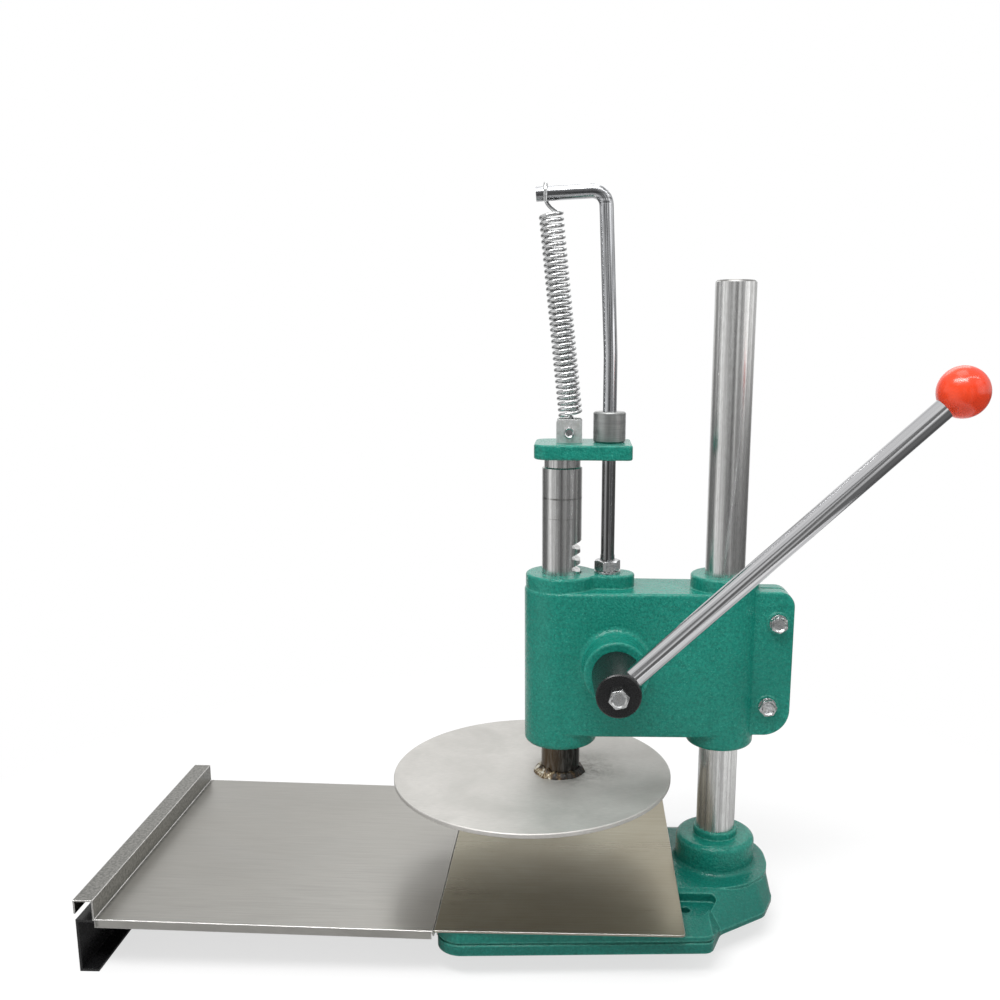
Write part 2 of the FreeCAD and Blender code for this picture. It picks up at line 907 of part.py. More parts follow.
def make_plate():
    right = size("plate_right")
    half = size("plate_depth") / 2
    sheet_metal = box("plate_sheet", (base_left, right), (-half, half), (plate_seat, plate_top))
    sheet_metal = rounded("plate_rounded", sheet_metal, 3, upright_at((right, half), (right, -half)))
    studs = [
        cylinder("plate_stud", stud, plate_seat - size("cell_roof") - 6, plate_seat, spot)
        for spot in stud_spots
    ]
    return fuse("base_plate", [sheet_metal] + studs)


def hex_nut(label, flats, bore, bottom, top, at, along="z"):
    return cut(
        label,
        hexagon(f"{label}_body", flats, bottom, top, at, along),
        [cylinder(f"{label}_bore", bore, bottom, top, at, along)],
    )


def washer(label, outer, bore, start, end, at, along="z"):
    return cut(
        label,
        cylinder(f"{label}_body", outer, start, end, at, along),
        [cylinder(f"{label}_bore", bore, start, end, at, along)],
    )


def hex_bolt_on_y(label, flats, head, shank, seat, end, at):
    """A hexagon bolt along Y whose head lies in front of its seat."""
    return fuse(
        label,
        [
            hexagon(f"{label}_head", flats, seat - head, seat, at, "y"),
            cylinder(f"{label}_shank", shank, seat, end, at, "y"),
        ],
    )


def make_foot(label, x, y):
    radius = size("foot_diameter") / 2
    profile = [(foot_screw + 0.3, 8), (7, 8), (7, 0), (radius - 1, 0), (radius, rim), (foot_screw + 0.3, rim)]
    foot = turned(label, profile)
    place(foot, x, y, 0)
    return foot


def make_foot_screw(label, x, y):
    head = cylinder(f"{label}_head", 5.5, 4, 8, (x, y))
    shank = cylinder(f"{label}_shank", foot_screw, 8, rim + 12, (x, y))
    return fuse(label, [head, shank])


def make_column():
    radius = size("column_diameter") / 2
    bottom = size("column_seat")
    top = bottom + size("column_length")
    column = turned("column", [(0, bottom), (radius, bottom), (radius, top - 1.5), (radius - 1.5, top), (0, top)])
    place(column, column_x, 0, 0)
    return column


# Tray: bent sheet that hangs on the base casting and stands on a black channel.
tray_right = base_left - size("tray_sheet")
tray_left = base_left - size("tray_gap") - size("tray_length")
tray_low = plate_top - 0.4
tray_high = tray_low + size("tray_rise")
channel_left = tray_left - size("channel_width")
leg_left = channel_left
leg_top = tray_high - size("tray_sheet") - size("tray_rise") * (size("leg_top") - size("channel_width")) / size(
    "tray_length"
)
leg_stud_spots = [(tray_left + 9, y) for y in (-size("leg_stud_y"), 0, size("leg_stud_y"))]


def make_tray():
    thick = size("tray_sheet")
    half = size("plate_depth") / 2
    high = tray_high + size("channel_height")
    drop = high - size("channel_drop")
    flange_low = plate_seat - size("tray_flange")
    section = [
        (base_left, flange_low),
        (base_left, plate_seat - 1),
        (base_left - size("tray_gap"), tray_low),
        (tray_left + thick, tray_high),
        (tray_left + thick, high),
        (channel_left, high),
        (channel_left, drop),
        (channel_left + thick, drop),
        (channel_left + thick, high - thick),
        (tray_left, high - thick),
        (tray_left, tray_high - thick),
        (base_left - size("tray_gap") - thick, tray_low - thick),
        (tray_right, plate_seat - 2.2),
        (tray_right, flange_low),
    ]
    outline = free_sketch("tray_section", Rotation(Vector(1, 0, 0), 90))
    polygon(outline, section)
    panel = extrude("tray_panel", outline, Vector(0, 1, 0), 2 * half, both_ways=True)
    lip = free_sketch("tray_lip_outline", Rotation(Vector(1, 0, 0), 90))
    polygon(
        lip,
        [
            (base_left - size("tray_gap") - thick, tray_low - 0.3),
            (tray_left + thick, tray_high - 0.3),
            (tray_left + thick, tray_high - size("tray_lip")),
            (base_left - size("tray_gap") - thick, tray_low - size("tray_lip")),
        ],
    )
    lips = extrude("tray_lips", lip, Vector(0, 1, 0), 2 * half, both_ways=True)
    inner = box(
        "tray_inside",
        (tray_left - 1, base_left),
        (-half + thick, half - thick),
        (rim, tray_high),
    )
    studs = [
        cylinder("tray_stud", stud, leg_top - size("leg_sheet") - 6, tray_high - 0.9, spot)
        for spot in leg_stud_spots
    ]
    whole = fuse("tray_whole", [panel, cut("tray_edges", lips, [inner])] + studs)
    holes = [
        cylinder("tray_screw_hole", stud + 0.2, tray_right - 1, base_left + 1, spot, "x")
        for spot in tray_screw_spots
    ]
    for side, span in (("front", (-half - 1, size("flange_inset") - half)), ("rear", (half - size("flange_inset"), half + 1))):
        holes.append(box(f"flange_{side}_end", (tray_right - 1, base_left + 1), span, (rim, plate_seat - 3)))
    return cut("tray", whole, holes)


def make_leg():
    thick = size("leg_sheet")
    half = size("plate_depth") / 2
    right = leg_left + size("leg_top")
    foot = leg_left + size("leg_foot")
    section = [
        (leg_left, 0),
        (foot, 0),
        (foot, thick),
        (leg_left + thick, thick),
        (leg_left + thick, leg_top - thick),
        (right, leg_top - thick),
        (right, leg_top),
        (leg_left, leg_top),
    ]
    outline = free_sketch("leg_section", Rotation(Vector(1, 0, 0), 90))
    polygon(outline, section)
    channel = extrude("leg_channel", outline, Vector(0, 1, 0), 2 * half - 2 * size("tray_sheet") - 1, both_ways=True)
    holes = [
        cylinder("leg_hole", stud + 0.3, leg_top - thick - 1, leg_top + 1, spot)
        for spot in leg_stud_spots
    ]
    return cut("tray_leg", channel, holes)


def make_leg_nut(label, x, y):
    top = leg_top - size("leg_sheet")
    return hex_nut(label, 8, stud, top - 4, top, (x, y))


def make_plate_nut(label, x, y):
    top = plate_seat - size("cell_roof")
    return hex_nut(label, 8, stud, top - 4, top, (x, y))


def make_tray_screw(label, y, z):
    head = cylinder(f"{label}_head", 4.6, tray_right - 3, tray_right, (y, z), "x")
    shank = cylinder(f"{label}_shank", stud, tray_right, base_left + 9, (y, z), "x")
    return fuse(label, [head, shank])


PIECES = []


def keep(item):
    PIECES.append(item)
    return item


keep(finish_base(make_base()))
keep(make_plate())
keep(group("plate_nuts", at_each("plate_nut", make_plate_nut, stud_spots)))
keep(group("rubber_feet", at_each("rubber_foot", make_foot, foot_spots)))
keep(group("foot_screws", at_each("foot_screw", make_foot_screw, foot_spots)))
keep(make_column())
set_screw = cylinder(
    "column_set_screw",
    5,
    size("column_diameter") / 2,
    size("column_boss") / 2 - 1,
    (column_x, set_screw_height),
    "y",
)
keep(set_screw)
keep(make_tray())
keep(make_leg())
keep(group("leg_nuts", at_each("leg_nut", make_leg_nut, leg_stud_spots)))
keep(group("tray_screws", at_each("tray_screw", make_tray_screw, tray_screw_spots)))
keep(make_head())


# Rear cover and the two bushes that carry the pinion shaft.
shaft_radius = size("shaft_diameter") / 2
cover_reach = size("cover_screw_circle") / 2 / math.sqrt(2)
cover_screw_spots = [
    (gear_x + cover_reach * along, gear_height + cover_reach * up) for along in (-1, 1) for up in (-1, 1)
]


def make_cover():
    spigot = pitch_radius + module + size("cavity_clearance") - 0.1
    outer = size("cover_diameter") / 2
    boss = size("cover_boss") / 2
    profile = [
        (bush_outer, spigot_inner),
        (spigot, spigot_inner),
        (spigot, cover_seat),
        (outer, cover_seat),
        (outer, cover_face - 1),
        (outer - 1, cover_face),
        (boss + 2, cover_face),
        (boss, cover_face + 2),
        (boss, cover_end - 1),
        (boss - 1, cover_end),
        (bush_outer, cover_end),
    ]
    disc = turned_on_y("rear_cover_disc", profile, gear_spot)
    holes = [
        cylinder("cover_hole", size("cover_screw") / 2 + 0.3, cover_seat - 1, cover_end, spot, "y")
        for spot in cover_screw_spots
    ]
    return cut("rear_cover", disc, holes)


def make_bush(label, start, end):
    profile = [(shaft_radius + size("slide_fit"), start), (bush_outer, start), (bush_outer, end)]
    profile.append((shaft_radius + size("slide_fit"), end))
    return turned_on_y(label, profile, gear_spot)


def make_cover_screw(label, x, z):
    spot = (x, z)
    radius = size("cover_screw") / 2
    head = cylinder(f"{label}_head", radius + 2, cover_face, cover_face + 2 * radius, spot, "y")
    socket = hexagon(f"{label}_socket", 5, cover_face + 3, cover_face + 2 * radius + 1, spot, "y")
    shank = cylinder(f"{label}_shank", radius, cover_seat - 14, cover_face, spot, "y")
    return cut(label, fuse(f"{label}_blank", [head, shank]), [socket])


# Clamp bolts through the split flange.
clamp_spots = [upper_bolt, lower_bolt]
clamp_washer = 1.6
front_face = -clamp_half - 0.8


def make_clamp_bolt(label, x, z):
    seat = front_face - clamp_washer
    return hex_bolt_on_y(
        label, 13, 5.3, size("clamp_bolt") / 2, seat, clamp_half + clamp_washer + 10, (x, z)
    )


def make_front_washer(label, x, z):
    return washer(
        label, 7.4, size("clamp_bolt") / 2 + 0.2, front_face - clamp_washer, front_face, (x, z), "y"
    )


def make_rear_washer(label, x, z):
    return washer(
        label, 7.4, size("clamp_bolt") / 2 + 0.2, clamp_half, clamp_half + clamp_washer, (x, z), "y"
    )


def make_clamp_nut(label, x, z):
    seat = clamp_half + clamp_washer
    return hex_nut(label, 13, size("clamp_bolt") / 2, seat, seat + 6.5, (x, z), "y")


# Ram with its rack, and the disc that is welded under it.
ram_radius = size("ram_diameter") / 2
rack_pitch = module * math.pi
rack_root = rack_line - 1.25 * module
slope_20 = math.tan(math.radians(20))
bracket_top = ram_top + size("bracket_thickness")
mesh_reach = math.sqrt(float(pitch_radius + module) ** 2 - float(gear_x - rack_tip) ** 2)
rack_below = math.ceil(mesh_reach / float(rack_pitch) - 0.3)
rack_above = math.ceil((float(size("stroke")) + mesh_reach) / float(rack_pitch) - 0.3)


def make_ram():
    neck = size("ram_neck") / 2
    neck_start = ram_top - size("ram_neck_height")
    spigot = size("ram_spigot") / 2
    spigot_top = ram_top + size("ram_spigot_height")
    profile = [
        (0, disc_top),
        (ram_radius, disc_top),
        (ram_radius, neck_start),
        (neck, neck_start + 1),
        (neck, ram_top),
        (spigot, ram_top),
        (spigot, spigot_top),
        (0, spigot_top),
    ]
    body = turned("ram", profile)
    flat_low = gear_height - rack_pitch * rack_below - 5
    flat_high = gear_height + rack_pitch * (rack_above + 0.4)
    flat = new_sketch(body, "rack_flat", "XZ_Plane")
    polygon(
        flat,
        [
            (rack_tip, flat_low),
            (ram_radius + 1, flat_low),
            (ram_radius + 1, flat_high),
            (rack_tip, flat_high),
        ],
    )
    body.Tip = pocket(body, flat, 2 * ram_radius + 2, midplane=True)
    half = rack_pitch / 4 + size("backlash") / 4
    gap_height = gear_height - rack_pitch * rack_below
    wide = half + module * slope_20
    narrow = half - 1.25 * module * slope_20
    beyond = rack_tip + 0.5
    gap = new_sketch(body, "rack_gap", "XZ_Plane")
    polygon(
        gap,
        [
            (rack_root, gap_height - narrow),
            (rack_tip, gap_height - wide),
            (beyond, gap_height - wide),
            (beyond, gap_height + wide),
            (rack_tip, gap_height + wide),
            (rack_root, gap_height + narrow),
        ],
    )
    first = pocket(body, gap, 2 * ram_radius + 2, midplane=True)
    row = body.newObject("PartDesign::LinearPattern", "rack_row")
    row.Originals = [first]
    row.Direction = (gap, ["V_Axis"])
    row.Occurrences = rack_below + rack_above + 1
    bind(row, "Length", rack_pitch * (rack_below + rack_above))
    body.Tip = row
    bolt_hole = new_sketch(body, "bolt_hole", "XY_Plane", spigot_top)
    circle(bolt_hole, size("lug_x"), 0, size("bracket_bolt") / 2)
    body.Tip = pocket(body, bolt_hole, spigot_top - ram_top + 22)
    return body




def make_disc():
    radius = size("disc_diameter") / 2
    edge = 0.6
    profile = [
        (0, disc_bottom),
        (radius - edge, disc_bottom),
        (radius, disc_bottom + edge),
        (radius, disc_top - edge),
        (radius - edge, disc_top),
        (0, disc_top),
    ]
    disc = turned("press_disc", profile)
    place(disc, -size("disc_offset"), 0, 0)
    return disc


def make_weld():
    outer = ram_radius + size("weld_width")
    top = disc_top + size("weld_height")
    middle = ram_radius + size("weld_width") * 0.62
    profile = [
        (ram_radius, disc_top),
        (outer, disc_top),
        (middle, disc_top + size("weld_height") * 0.62),
        (ram_radius, top),
    ]
    return turned("disc_weld", profile)


# Pinion, its shaft and the keys.
def gear_outline():
    """Involute teeth about the origin, with one tooth pointing along -X."""
    teeth = int(float(size("gear_teeth")))
    pitch = float(pitch_radius)
    tip = pitch + float(module)
    root = pitch - 1.25 * float(module)
    pressure = math.radians(20)
    base = pitch * math.cos(pressure)
    half_tooth = (math.pi / 2 * float(module) - float(size("backlash")) / 2) / 2 / pitch
    offset = math.tan(pressure) - pressure

    def flank(radius, side, middle):
        angle = math.acos(min(1.0, base / radius))
        turn = half_tooth + offset - (math.tan(angle) - angle)
        spot = middle + side * turn
        return Vector(radius * math.cos(spot), radius * math.sin(spot), 0)

    start = max(base, root) + 0.001
    steps = [start + (tip - start) * part / 4 for part in range(5)]
    edges = []
    previous = None
    first = None
    for tooth in range(teeth):
        middle = math.pi + 2 * math.pi * tooth / teeth
        up = [flank(radius, -1, middle) for radius in steps]
        down = [flank(radius, 1, middle) for radius in reversed(steps)]
        foot_in = Vector(up[0]).normalize() * root
        foot_out = Vector(down[-1]).normalize() * root
        if previous is not None:
            edges.append(Part.LineSegment(previous, foot_in).toShape())
        else:
            first = foot_in
        edges.append(Part.LineSegment(foot_in, up[0]).toShape())
        for points in (up, down):
            curve = Part.BSplineCurve()
            curve.interpolate(points)
            edges.append(curve.toShape())
            if points is up:
                edges.append(Part.LineSegment(up[-1], down[0]).toShape())
        edges.append(Part.LineSegment(down[-1], foot_out).toShape())
        previous = foot_out
    edges.append(Part.LineSegment(previous, first).toShape())
    return Part.Face(Part.Wire(edges))


def make_gear():
    blank = doc.addObject("Part::Feature", "gear_teeth")
    shape = gear_outline().extrude(Vector(0, 0, float(size("gear_width"))))
    blank.Shape = shape
    blank.Placement = Placement(
        Vector(float(gear_x), -float(gear_half), float(gear_height)),
        Rotation(Vector(1, 0, 0), -90),
    )
    rear_hub = cylinder("gear_rear_hub", 17, 0, spigot_inner - 0.4, gear_spot, "y")
    front_hub = cylinder("gear_front_hub", 17, cavity_floor + 0.3, 0, gear_spot, "y")
    whole = fuse("gear_blank", [blank, rear_hub, front_hub])
    key = size("key_width") / 2
    tools = [
        cylinder("gear_bore", shaft_radius, cavity_floor - 1, cover_seat, gear_spot, "y"),
        box(
            "gear_keyway",
            (gear_x - key, gear_x + key),
            (cavity_floor - 1, cover_seat),
            (gear_height, gear_height + shaft_radius + 2.8),
        ),
    ]
    return cut("pinion_gear", whole, tools)


key_bottom = gear_height + shaft_radius - 3.5
key_top = key_bottom + size("key_width")
pinion_key_span = (cavity_floor + 1, spigot_inner - 2)
hub_key_span = (hub_floor + 2, hub_back - 2)
ring_start = cover_end + 0.4
ring_thick = 1.2


def make_shaft():
    end = ring_start + ring_thick + 2.4
    groove = shaft_radius - 0.7
    start = hub_floor + 0.2
    profile = [
        (0, start),
        (shaft_radius - 1, start),
        (shaft_radius, start + 1),
        (shaft_radius, ring_start),
        (groove, ring_start),
        (groove, ring_start + ring_thick),
        (shaft_radius, ring_start + ring_thick),
        (shaft_radius, end - 1),
        (shaft_radius - 1, end),
        (0, end),
    ]
    bar = turned_on_y("shaft_bar", profile, gear_spot)
    key = size("key_width") / 2
    tools = [
        box(f"{name}_slot", (gear_x - key, gear_x + key), span, (key_bottom, gear_height + shaft_radius + 1))
        for name, span in (("pinion_key", pinion_key_span), ("hub_key", hub_key_span))
    ]
    bolt = size("hub_bolt") / 2
    tools.append(cylinder("hub_bolt_hole", bolt, start - 1, start + 22, gear_spot, "y"))
    return cut("pinion_shaft", bar, tools)


def make_key(label, span):
    key = size("key_width") / 2
    return box(label, (gear_x - key, gear_x + key), span, (key_bottom, key_top))


def make_ring():
    ring = washer("ring_blank", shaft_radius + 3, shaft_radius - 0.7, ring_start, ring_start + ring_thick, gear_spot, "y")
    mouth = box(
        "ring_mouth",
        (gear_x - 3, gear_x + 3),
        (ring_start - 1, ring_start + ring_thick + 1),
        (gear_height - shaft_radius - 4, gear_height),
    )
    return cut("shaft_ring", ring, [mouth])


# Handle: hub, lever and knob. The lever points up at an angle when the ram is up.
lever_y = hub_front + size("lever_setback")
lever_cos = Size(math.cos(math.radians(float(size("lever_angle")))), "cos(Sizes.lever_angle * 1 deg)")
lever_sin = Size(math.sin(math.radians(float(size("lever_angle")))), "sin(Sizes.lever_angle * 1 deg)")
lever_lean = 90 - size("lever_angle")
lever_radius = size("lever_diameter") / 2
knob_radius = size("knob_diameter") / 2
knob_flat = (knob_radius * knob_radius - lever_radius * lever_radius).root()
lever_end = size("lever_reach") - knob_flat
stud_end = size("lever_reach") + 4


def along_lever(item, start):
    """Stands an object on the lever's axis, start millimetres from the pinion's axis."""
    turn = Rotation(Vector(0, 1, 0), float(lever_lean))
    place(item, gear_x + start * lever_cos, lever_y, gear_height + start * lever_sin, turn)
    item.setExpression("Placement.Rotation.Angle", f"{lever_lean.text} * 1 deg")
    return item


def lever_cylinder(name, radius, start, end):
    item = doc.addObject("Part::Cylinder", name)
    bind(item, "Radius", radius)
    bind(item, "Height", as_size(end) - start)
    return along_lever(item, as_size(start))


def make_hub():
    radius = size("hub_diameter") / 2
    rear = size("hub_rear_diameter") / 2
    profile = [
        (0, hub_back),
        (rear - 0.6, hub_back),
        (rear, hub_back - 0.6),
        (radius, hub_front + 1),
        (radius - 1, hub_front),
        (0, hub_front),
    ]
    blank = turned_on_y("hub_blank", profile, gear_spot)
    key = size("key_width") / 2
    tools = [
        cylinder("hub_bore", shaft_radius, hub_floor, hub_back + 1, gear_spot, "y"),
        cylinder("hub_bolt_way", size("hub_bolt") / 2 + 0.3, hub_front - 1, hub_back, gear_spot, "y"),
        box(
            "hub_keyway",
            (gear_x - key, gear_x + key),
            (hub_floor, hub_back + 1),
            (gear_height, gear_height + shaft_radius + 2.8),
        ),
        lever_cylinder("lever_socket", lever_radius, size("lever_root"), radius + 5),
    ]
    return cut("handle_hub", blank, tools)


def make_lever():
    bar = turned(
        "lever_rod",
        [
            (0, size("lever_root")),
            (lever_radius, size("lever_root")),
            (lever_radius, lever_end),
            (size("knob_stud") / 2, lever_end),
            (size("knob_stud") / 2, stud_end),
            (0, stud_end),
        ],
    )
    return along_lever(bar, Size(0, "0"))


def make_knob():
    ball = doc.addObject("Part::Sphere", "knob_ball")
    bind(ball, "Radius", knob_radius)
    along_lever(ball, size("lever_reach"))
    tools = [
        lever_cylinder("knob_face", knob_radius + 1, lever_end - 3, lever_end),
        lever_cylinder("knob_hole", size("knob_stud") / 2, lever_end - 1, stud_end),
    ]
    return cut("lever_knob", ball, tools)


def make_hub_bolt():
    head = size("hub_bolt_head")
    return hex_bolt_on_y("hub_bolt", 14, head, size("hub_bolt") / 2, hub_front, hub_floor + 18, gear_spot)


# Bracket on top of the ram, guide rod, stop collar and the spring's lug.
rod_x = size("rod_x")
rod_radius = size("rod_diameter") / 2
rod_hole = rod_radius + size("rod_hole_clearance") / 2
rod_spot = (rod_x, 0)
collar_bottom = bracket_top + size("collar_gap")
collar_top = collar_bottom + size("collar_height")
lug_x = size("lug_x")
strap_top = bracket_top + size("lug_sheet")
sink_radius = size("bracket_bolt") / 2 + 3.5
sink_depth = 3.5


def make_bracket():
    half = size("bracket_depth") / 2
    left, right = -size("bracket_left"), size("bracket_right")
    block = box("bracket_block", (left, right), (-half, half), (ram_top, bracket_top))
    block = rounded(
        "bracket_left_corners", block, size("bracket_corner"), upright_at((left, half), (left, -half))
    )
    block = rounded("bracket_right_corners", block, 4, upright_at((right, half), (right, -half)))
    block = rounded("bracket_rounded", block, 1.5, either(level(ram_top), level(bracket_top)))
    spigot = size("ram_spigot") / 2
    tools = [
        cylinder("spigot_bore", spigot, ram_top - 1, ram_top + size("ram_spigot_height"), (0, 0)),
        cylinder("bracket_bolt_hole", size("bracket_bolt") / 2, ram_top, bracket_top + 1, (lug_x, 0)),
        cylinder("rod_slide_hole", rod_hole, ram_top - 1, bracket_top + 1, rod_spot),
        make_sink("bracket_sink"),
    ]
    return cut("guide_bracket", block, tools)


def make_sink(name):
    """The conical seat that the strap and the bracket share."""
    return cone(name, size("bracket_bolt") / 2, sink_radius, strap_top - sink_depth, strap_top, (lug_x, 0))


def make_bracket_bolt():
    shank = cylinder(
        "bracket_bolt_shank", size("bracket_bolt") / 2, ram_top - 12, strap_top - sink_depth, (lug_x, 0)
    )
    whole = fuse("bracket_bolt_blank", [shank, make_sink("bracket_bolt_head")])
    socket = hexagon("bracket_bolt_socket", 5, strap_top - 2.5, strap_top + 1, (lug_x, 0))
    return cut("bracket_bolt", whole, [socket])


lug_axis = (lug_x, strap_top - size("lug_sheet") + size("lug_bolt_height"))
hook_x = size("hook_inset") - size("arm_end")
spring_foot = (lug_x + size("spring_foot_shift"), lug_axis[1] + size("spring_foot_rise"))
spring_top = (hook_x + size("spring_top_shift"), size("arm_height") - size("spring_top_drop"))
lug_inner = size("lug_ear_gap") / 2
lug_outer = lug_inner + size("lug_sheet")


def make_lug():
    half = size("lug_width") / 2
    top = bracket_top + size("lug_height")
    left, right = lug_x - half, lug_x + half
    block = box("lug_block", (left, right), (-lug_outer, lug_outer), (bracket_top, top))
    block = rounded("lug_block_rounded", block, 2.5, lying_y_at((left, top), (right, top)))
    tools = [
        box("lug_room", (left - 1, right + 1), (-lug_inner, lug_inner), (strap_top, top + 1)),
        cylinder("lug_hole", size("lug_bolt") / 2, -lug_outer - 1, lug_outer + 1, lug_axis, "y"),
        make_sink("lug_sink"),
    ]
    return cut("spring_lug", block, tools)


def make_lug_bolt():
    return hex_bolt_on_y("lug_bolt", 8, 3.5, size("lug_bolt") / 2, -lug_outer, lug_outer + 6, lug_axis)


def rod_route():
    """Corner points of the guide rod and the radius at each bend."""
    lean = math.radians(float(size("rod_lean")))
    droop = math.radians(float(size("arm_droop")))
    bow = float(size("rod_lean_radius"))
    x, z = float(rod_x), float(size("rod_straight"))
    bow_start = Vector(x, 0, z)
    bow_end = Vector(x - bow * (1 - math.cos(lean)), 0, z + bow * math.sin(lean))
    bow_middle = Vector(x - bow * (1 - math.cos(lean / 2)), 0, z + bow * math.sin(lean / 2))
    height = float(size("arm_height"))
    run = (height + bow_end.x * math.tan(droop) - bow_end.z) / (
        math.cos(lean) + math.sin(lean) * math.tan(droop)
    )
    corner = bow_end + Vector(-math.sin(lean), 0, math.cos(lean)) * run
    turn = math.pi / 2 - lean + droop
    bend = float(size("rod_bend_radius"))
    reach = bend * math.tan(turn / 2)
    up = Vector(-math.sin(lean), 0, math.cos(lean))
    out = Vector(-math.cos(droop), 0, -math.sin(droop))
    bend_start = corner - up * reach
    bend_end = corner + out * reach
    inward = (out - up).normalize()
    bend_middle = corner + inward * (bend / math.cos(turn / 2) - bend)
    length = (bend_end.x + float(size("arm_end"))) / math.cos(droop)
    arm_end = bend_end + out * length
    foot = Vector(x, 0, float(pad_top) - float(size("rod_root")))
    return [
        Part.LineSegment(foot, bow_start).toShape(),
        Part.Arc(bow_start, bow_middle, bow_end).toShape(),
        Part.LineSegment(bow_end, bend_start).toShape(),
        Part.Arc(bend_start, bend_middle, bend_end).toShape(),
        Part.LineSegment(bend_end, arm_end).toShape(),
    ], (bend_end, out)


def make_rod():
    edges, _ = rod_route()
    path = Part.Wire(edges)
    foot = edges[0].Vertexes[0].Point
    section = Part.Wire([Part.Circle(foot, Vector(0, 0, 1), float(rod_radius)).toShape()])
    tube = path.makePipeShell([section], True, True)
    expected = math.pi * float(rod_radius) ** 2 * path.Length
    print("guide rod volume against section times length:", round(tube.Volume / expected, 5))
    bar = doc.addObject("Part::Feature", "guide_rod_bar")
    bar.Shape = tube
    thread_top = pad_top + size("washer_thickness") + size("nut_height") + 4
    thread = cylinder("guide_rod_thread", size("rod_thread") / 2, pad_top - size("rod_root"), thread_top, rod_spot)
    return fuse("guide_rod", [bar, thread])


def make_collar():
    outer = size("collar_diameter") / 2
    bore = rod_radius + size("slide_fit")
    profile = [
        (bore, collar_bottom),
        (outer - 1, collar_bottom),
        (outer, collar_bottom + 1),
        (outer, collar_top - 1),
        (outer - 1, collar_top),
        (bore, collar_top),
    ]
    collar = turned("collar_blank", profile)
    place(collar, rod_x, 0, 0)
    hole = cylinder("collar_screw_hole", 3, 0, outer + 1, collar_screw_spot, "y")
    return cut("stop_collar", collar, [hole])


collar_screw_spot = (rod_x, collar_bottom + size("collar_height") / 2)


# Return spring: one wire, wound between a hook under the lug's bolt and a hook over
# the rod's arm. Its axis leans a little, as the rod above leans over the ram.
def joining_arcs(start, out_of, end, into):
    """Two tangent arcs between two points with given directions."""
    reach = end - start
    both = out_of + into
    curve = 2 * (1 - out_of.dot(into))
    along = 2 * reach.dot(both)
    step = (math.sqrt(along * along + 4 * curve * reach.dot(reach)) - along) / (2 * curve)
    corner_in = start + out_of * step
    corner_out = end - into * step
    joint = (corner_in + corner_out) * 0.5
    arcs = []
    for a, corner, b in ((start, corner_in, joint), (joint, corner_out, end)):
        chord = b - a
        sagitta_way = corner - (a + b) * 0.5
        half_turn = (corner - a).getAngle(chord)
        rise = chord.Length / 2 * math.tan(half_turn / 2)
        arcs.append((a, (a + b) * 0.5 + sagitta_way.normalize() * rise, b))
    return arcs


def spring_route():
    """Straight runs and arcs of the spring's wire, from the lower hook to the upper one."""
    coil = float(size("spring_coil")) / 2
    wire = float(size("spring_wire"))
    foot = Vector(float(spring_foot[0]), 0, float(spring_foot[1]))
    top = Vector(float(spring_top[0]), 0, float(spring_top[1]))
    axis = (top - foot).normalize()
    side = Vector(axis.z, 0, -axis.x)
    back = Vector(0, 1, 0)
    begin = math.radians(float(size("spring_start")))
    whole = 2 * math.pi * float(size("spring_turns"))
    climb = (top - foot).Length / whole

    def on_coil(angle):
        spot = foot + axis * (climb * (angle - begin))
        spot += (side * math.cos(angle) + back * math.sin(angle)) * coil
        way = axis * climb + (back * math.cos(angle) - side * math.sin(angle)) * coil
        return spot, way.normalize()

    gap = float(size("hook_gap"))
    low_radius = float(size("lug_bolt")) / 2 + gap + wire / 2
    low = Vector(float(lug_axis[0]), 0, float(lug_axis[1]))
    left = low - Vector(low_radius, 0, 0)
    right = low + Vector(low_radius, 0, 0)
    upwards = Vector(0, 0, 1)
    route = [(left + upwards * wire * 2, left), (left, low - upwards * low_radius, right)]
    steps = math.ceil(2 * float(size("spring_turns")))
    nodes = [on_coil(begin + whole * step / steps) for step in range(steps + 1)]
    route += joining_arcs(right, upwards, *nodes[0])
    for (start, out_of), (end, into) in zip(nodes, nodes[1:]):
        route += joining_arcs(start, out_of, end, into)
    _, (bend_end, out) = rod_route()
    centre = bend_end + out * ((bend_end.x - float(hook_x)) / -out.x)
    high_radius = float(rod_radius) + gap + wire / 2
    rear = centre + Vector(0, high_radius, 0)
    front = centre - Vector(0, high_radius, 0)
    shoulder = rear - upwards * float(size("hook_drop"))
    route += joining_arcs(*nodes[-1], shoulder, upwards)
    route.append((shoulder, rear))
    route.append((rear, centre + upwards * high_radius, front))
    route.append((front, front - upwards * wire * 2))
    return route


def least_gap(route, wire):
    """The smallest distance between turns of the wire, measured on points along it."""
    points = []
    run = 0.0
    marks = []
    for piece in route:
        edge = Part.LineSegment(*piece) if len(piece) == 2 else Part.Arc(*piece)
        length = edge.length()
        count = max(2, int(length / 0.8))
        first, last = edge.FirstParameter, edge.LastParameter
        for step in range(count):
            points.append(edge.value(first + (last - first) * step / count))
            marks.append(run + length * step / count)
        run += length
    least = None
    for a, spot in enumerate(points):
        for b in range(a + 1, len(points)):
            along = marks[b] - marks[a]
            if along < 4 * wire:
                continue
            if along > 14 * wire * 2.4:
                break
            distance = spot.distanceToPoint(points[b]) - wire
            if least is None or distance < least:
                least = distance
    return least, run


